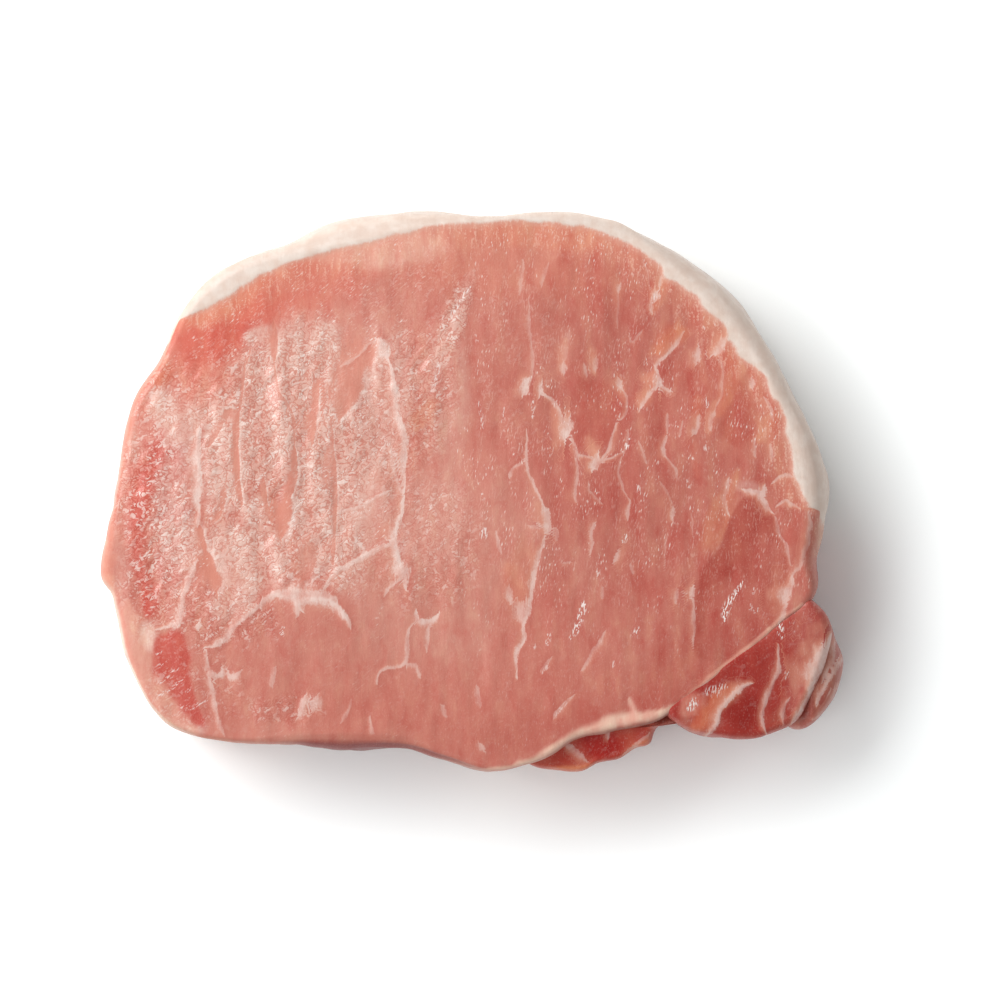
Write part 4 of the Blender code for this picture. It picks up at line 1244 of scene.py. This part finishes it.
def moistPork():
    bench = Bench("moistPork")
    place = bench.add("ShaderNodeTexCoord", out=3)
    space = bench.add("ShaderNodeVectorMath", {"operation": "SCALE"}, {0: place, 3: 1000.0})

    def channels(name):
        layer = bench.add("ShaderNodeAttribute", {"attribute_name": name})
        split = bench.add("ShaderNodeSeparateColor", {}, {0: layer}).socket.node
        parts = [Wire(bench, split.outputs[index]) for index in range(3)]
        return layer, parts + [Wire(bench, layer.socket.node.outputs[3])]

    tone, toneParts = channels("tone")
    glintPower = toneParts[3]
    _, (inFat, crinkle, sheenyFilm, wall) = channels("masks")
    _, (seamRatio, seamSided, seamPower, glintRatio) = channels("lines")
    _, (dullRatio, dullSided, dullPower, fatShade) = channels("bundles")

    # fibres run upright on the cut face and down the wall
    strands = bench.noise(space, (0.55, 2.6, 4.0), detail=3.0, roughness=0.6, flat=True)
    grain = bench.noise(space, (0.24, 0.32, 0.3), detail=1.0, roughness=0.6)
    blush = bench.noise(space, (1.6, 2.8, 3.0), detail=3.0, roughness=0.6)
    lobes = bench.noise(space, (2.5, 6.5, 4.0), turn=5.0, detail=2.5, roughness=0.55, flat=True)
    # how far along X and Y, in millimetres
    across = bench.add("ShaderNodeSeparateXYZ", {}, {0: space})
    upward = Wire(bench, across.socket.node.outputs[1])
    swarm = bench.noise(space, (2.4, 5.4, 4.0), turn=-12.0, detail=2.0, roughness=0.6, flat=True)
    patchy = bench.step(swarm, 0.32, 0.60)

    # the wet film creases along the contours of two broad unevennesses, closely where they are steep,
    # and highlights are painted on it in small leaning patches
    gather = bench.noise(space, (2.1, 2.8, 3.0), turn=-55.0, detail=2.5, roughness=0.55, flat=True)
    crossing = bench.noise(space, (2.5, 1.9, 3.0), turn=-20.0, detail=2.5, roughness=0.55, flat=True)
    highlightPatches = bench.noise(space, (0.9, 1.6, 1.0), turn=-56.0, detail=2.5, roughness=0.55, flat=True)
    wrinkles = bench.zigzag(gather * 6.0) * bench.step(bench.zigzag(crossing * 6.0), 0.0, 0.35)

    flesh = bench.tint(bench.step(strands, 0.50, 0.74) * 0.20, tone, "paleStrand")
    flesh = bench.tint(bench.step(strands, 0.48, 0.28) * 0.20, flesh, "darkStrand")
    flesh = bench.tint(bench.step(blush, 0.50, 0.28) * 0.7, flesh, "darkBlush")
    flesh = bench.tint(bench.step(blush, 0.52, 0.72) * 0.7, flesh, "paleBlush")
    lobed = bench.step(across, 8.0, 26.0) * 0.45 + 0.35
    flesh = bench.tint(bench.step(lobes, 0.50, 0.30) * lobed, flesh, "darkLobe")
    flesh = bench.tint(bench.step(lobes, 0.52, 0.72) * lobed, flesh, "paleLobe")
    flesh = bench.coat(bench.step(grain, 0.56, 0.76) * 0.18, flesh, "fleck")

    # bare bundles run through the film: crisp on the east side, frayed on the west
    crisp = bench.step(dullSided + (grain - 0.5) * 0.4, 1.25, 0.85)
    frayed = bench.step(dullSided + (grain - 0.5) * 1.4 + (strands - 0.5) * 3.0, -2.2, -0.6)
    bare = crisp * frayed * bench.step(dullRatio, 3.0, 2.2) * dullPower
    filmed = crinkle * (1.0 - bare * 0.9)

    # the film: pale with a painted sheen, with painted highlights on the wrinkles' tops beside thin
    # red-brown creases of painted shade
    flesh = bench.coat(sheenyFilm * (patchy * 0.35 + 0.60) * (1.0 - bare * 0.9), flesh, "filmAndSheen")
    # painted shade darkens the thin creases
    flesh = bench.tint(bench.step(wrinkles, 0.38, 0.02) * filmed, flesh, "creaseShadeInFilm")
    leftEnd = bench.step(across, -42.0, -47.0)
    # painted highlights on the tops of the wrinkles
    crestHighlights = bench.step(highlightPatches + leftEnd * 0.05, 0.50, 0.64) * bench.step(wrinkles, 0.1, 0.5)
    crestHighlights = crestHighlights * (patchy * 0.62 + 0.24) * filmed
    flesh = bench.coat(crestHighlights * (leftEnd * 0.05 + 0.70), flesh, "crestHighlight")
    flesh = bench.coat(bare * 0.65, flesh, "bareBundle")
    border = bench.step(dullSided, 1.10, 1.40) * bench.step(dullSided, 2.4, 1.5) * dullPower * crinkle
    flesh = bench.coat(border * 0.45, flesh, "bundleEdge")

    # seams: sharp on one side, fading into the meat on the other, their strength uneven; shade is
    # painted on one side of each seam and a paler warm glow, painted light, on the other
    ragged = (grain - 0.5) * 1.6 + (strands - 0.5) * 2.2
    gate = bench.step(seamRatio, 3.4, 2.0)
    halo = bench.step(seamRatio + (strands - 0.5) * 2.0, 4.2, 0.8) * seamPower
    flesh = bench.coat(halo * 0.16, flesh, "seamHalo")
    frayedSide = seamSided + (strands - 0.5) * 1.6
    shade = bench.step(frayedSide, 5.0, 1.6) * bench.step(frayedSide, 0.9, 1.6) * seamPower
    flesh = bench.tint(shade * 0.7, flesh, "shadeBesideSeam")
    glow = bench.step(frayedSide, -5.4, -1.4) * bench.step(frayedSide, 0.2, -0.8) * seamPower
    flesh = bench.coat(glow * (bench.step(across, 2.0, 14.0) * 0.40 + 0.15), flesh, "seamGlow")
    core = bench.step(seamSided + ragged, 1.35, 0.55) * bench.step(seamSided + ragged, -2.4, -0.2)
    core = core * gate * seamPower * (bench.step(blush, 0.36, 0.60) * 0.5 + 0.5)
    flesh = bench.coat(core * 0.85, flesh, "seam")

    # fibre ends comb the lean under the fat cap
    combed = bench.step(strands + (grain - 0.5) * 0.7, 0.54, 0.72) * bench.step(inFat, -6.0, -1.2)
    flesh = bench.coat(combed * 0.5, flesh, "combedFibre")

    # the fat cap, its inner edge feathered by fibre ends
    suet = bench.noise(space, (1.8, 1.8, 2.6), detail=3.0, roughness=0.55)
    fat = bench.coat(bench.step(suet, 0.25, 0.75), shownAs("deepFat"), "paleFat")
    # painted shade on the fat: in the crease, on the outer slope and wall, and towards the east
    fat = bench.coat(fatShade * (bench.step(suet, 0.70, 0.35) * 0.4 + 0.6), fat, "shadedFat")
    # painted light: the fat on the wall is a little paler
    fat = bench.tint(wall, fat, "litFatOnWall")
    inward = inFat + (strands - 0.5) * 0.35 + (grain - 0.5) * 0.4
    flesh = bench.coat(bench.step(inward, -1.1, 0.2) * 0.5, flesh, "underFat")
    fatShare = bench.step(inward, -0.20, 0.40)
    colour = bench.blend(fatShare, flesh, fat)

    # sparks of light: loose dust in swarms, leaning on the left and upright on the right,
    # and fixed streaks
    leaning = bench.noise(space, (0.24, 0.85, 0.5), turn=-50.0, detail=1.0, flat=True)
    upright = bench.noise(space, (0.23, 0.85, 0.5), turn=-10.0, detail=1.0, flat=True)
    eastward = bench.step(across, -14.0, 2.0)
    dust = leaning + (upright - leaning) * eastward
    lean = (1.0 - wall) * (1.0 - fatShare) * (1.0 - leftEnd * 0.8)
    lean = lean * (bench.step(upward, -25.0, -9.0) * 0.8 + 0.2)
    flocks = bench.noise(space, (5.0, 9.0, 6.0), turn=-8.0, detail=1.0, flat=True)
    sparks = bench.step(dust, 0.69, 0.77) * bench.step(swarm, 0.44, 0.58)
    sparks = sparks * bench.step(flocks, 0.42, 0.60) * lean
    streaks = bench.step(glintRatio, 1.8, 0.5) * bench.step(dust + (grain - 0.5) * 0.4, 0.50, 0.62)
    streaks = streaks * glintPower
    faint = bench.step(dust, 0.56, 0.68) * bench.step(swarm, 0.40, 0.60) * lean
    colour = bench.coat(faint * 0.25, colour, "faintSpark")
    colour = bench.coat(sparks * 0.70, colour, "spark")
    colour = bench.coat(streaks * 0.95, colour, "streak")

    height = wrinkles * filmed * 0.03 + strands * (wall * 0.05 + 0.03) + grain * 0.02
    bump = bench.add("ShaderNodeBump", {}, {"Strength": 1.0, "Distance": 0.001, "Height": height})
    bench.set(
        Base_Color=colour, Roughness=0.46 - filmed * 0.16 - streaks * 0.1, Normal=bump, IOR=1.38,
        Specular_IOR_Level=0.28,
        Coat_Weight=filmed * 0.55 + streaks * 0.4 + 0.08, Coat_Roughness=0.14, Coat_IOR=1.45,
    )
    return bench.material


# ---- build ----

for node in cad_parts.values():
    node.select_set(False)
loinLooks = {
    "tone": leanTone, "patches": patches, "outlined": outlined, "bands": bands,
    "seams": seams, "glints": glints,
}
sideLooks = {
    "tone": sideTone, "patches": sidePatches, "bands": sideBands,
    "seams": sideSeams, "glints": sideGlints,
}
outerLooks = {"tone": outerTone, "patches": outerPatches, "seams": outerSeams, "glints": []}
flapLooks = {"tone": flapTone, "patches": flapPatches, "seams": flapSeams, "glints": []}

pieces = [growMuscle(loin, loinTop)]
dressLoin(pieces[0], loinLooks)
print("loin dressed")
for plan, top, looks in (
    (sideMuscle, sideTop, sideLooks), (outerMuscle, outerTop, outerLooks), (flap, flapTop, flapLooks),
):
    small = growMuscle(plan, top)
    dressSmall(small, looks)
    pieces.append(small)
print("small muscles dressed")
pork = moistPork()
for piece in pieces:
    piece.data.materials.clear()
    piece.data.materials.append(pork)
    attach(piece, "root")
    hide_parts("pork_chop")


# ---- floor, light and camera ----

def flatFinish(name, colour, roughness):
    bench = Bench(name)
    bench.set(Base_Color=colour, Roughness=roughness, Specular_IOR_Level=0.2)
    return bench.material


bpy.ops.mesh.primitive_plane_add(size=6.0, location=(0.0, 0.0, 0.0))
floor = bpy.context.active_object
floor.name = "paleFloor"
floor.data.materials.append(flatFinish("paleFloor", (0.97, 1.0, 1.0), 0.9))

studio = {
    "cameraHeight": 1.5,       # metres above the upper cut face
    "viewWidth": 151.4,        # millimetres across the picture at the middle of the chop's height
    "centre": (4.0, -1.4),
    "skyStrength": 0.48,
    # softboxes: azimuth runs from +X towards +Y
    "keySize": 1.1,
    "keyDistance": 1.4,
    "keyElevation": 42.0,
    "keyAzimuth": 140.0,
    "keyPower": 25.0,
    "fillSize": 1.4,
    "fillDistance": 1.4,
    "fillElevation": 45.0,
    "fillAzimuth": -145.0,
    "fillPower": 9.0,
}


def hangSoftbox(which):
    elevation = math.radians(studio[which + "Elevation"])
    azimuth = math.radians(studio[which + "Azimuth"])
    lampData = bpy.data.lights.new(which + "Softbox", "AREA")
    lampData.size = studio[which + "Size"]
    lampData.energy = studio[which + "Power"]
    lamp = bpy.data.objects.new(which + "Softbox", lampData)
    bpy.context.scene.collection.objects.link(lamp)
    level = math.cos(elevation)
    aim = (level * math.cos(azimuth), level * math.sin(azimuth), math.sin(elevation))
    lamp.location = [studio[which + "Distance"] * part for part in aim]
    lamp.rotation_euler = lamp.location.to_track_quat("Z", "Y").to_euler()


hangSoftbox("key")
hangSoftbox("fill")

world = bpy.data.worlds.new("studio")
bpy.context.scene.world = world
world.use_nodes = True
world.node_tree.nodes["Background"].inputs["Color"].default_value = (1.0, 1.0, 1.0, 1.0)
world.node_tree.nodes["Background"].inputs["Strength"].default_value = studio["skyStrength"]

cameraData = bpy.data.cameras.new("camera")
camera = bpy.data.objects.new("camera", cameraData)
bpy.context.scene.collection.objects.link(camera)
middleHeight = 0.5 * cadBox[1][2]
centreX, centreY = studio["centre"]
camera.location = (centreX * mm, centreY * mm, cadBox[1][2] + studio["cameraHeight"])
distance = camera.location[2] - middleHeight
cameraData.lens = cameraData.sensor_width * distance / (studio["viewWidth"] * mm)
cameraData.clip_end = 20.0
bpy.context.scene.camera = camera
bpy.context.scene.view_settings.view_transform = "Standard"
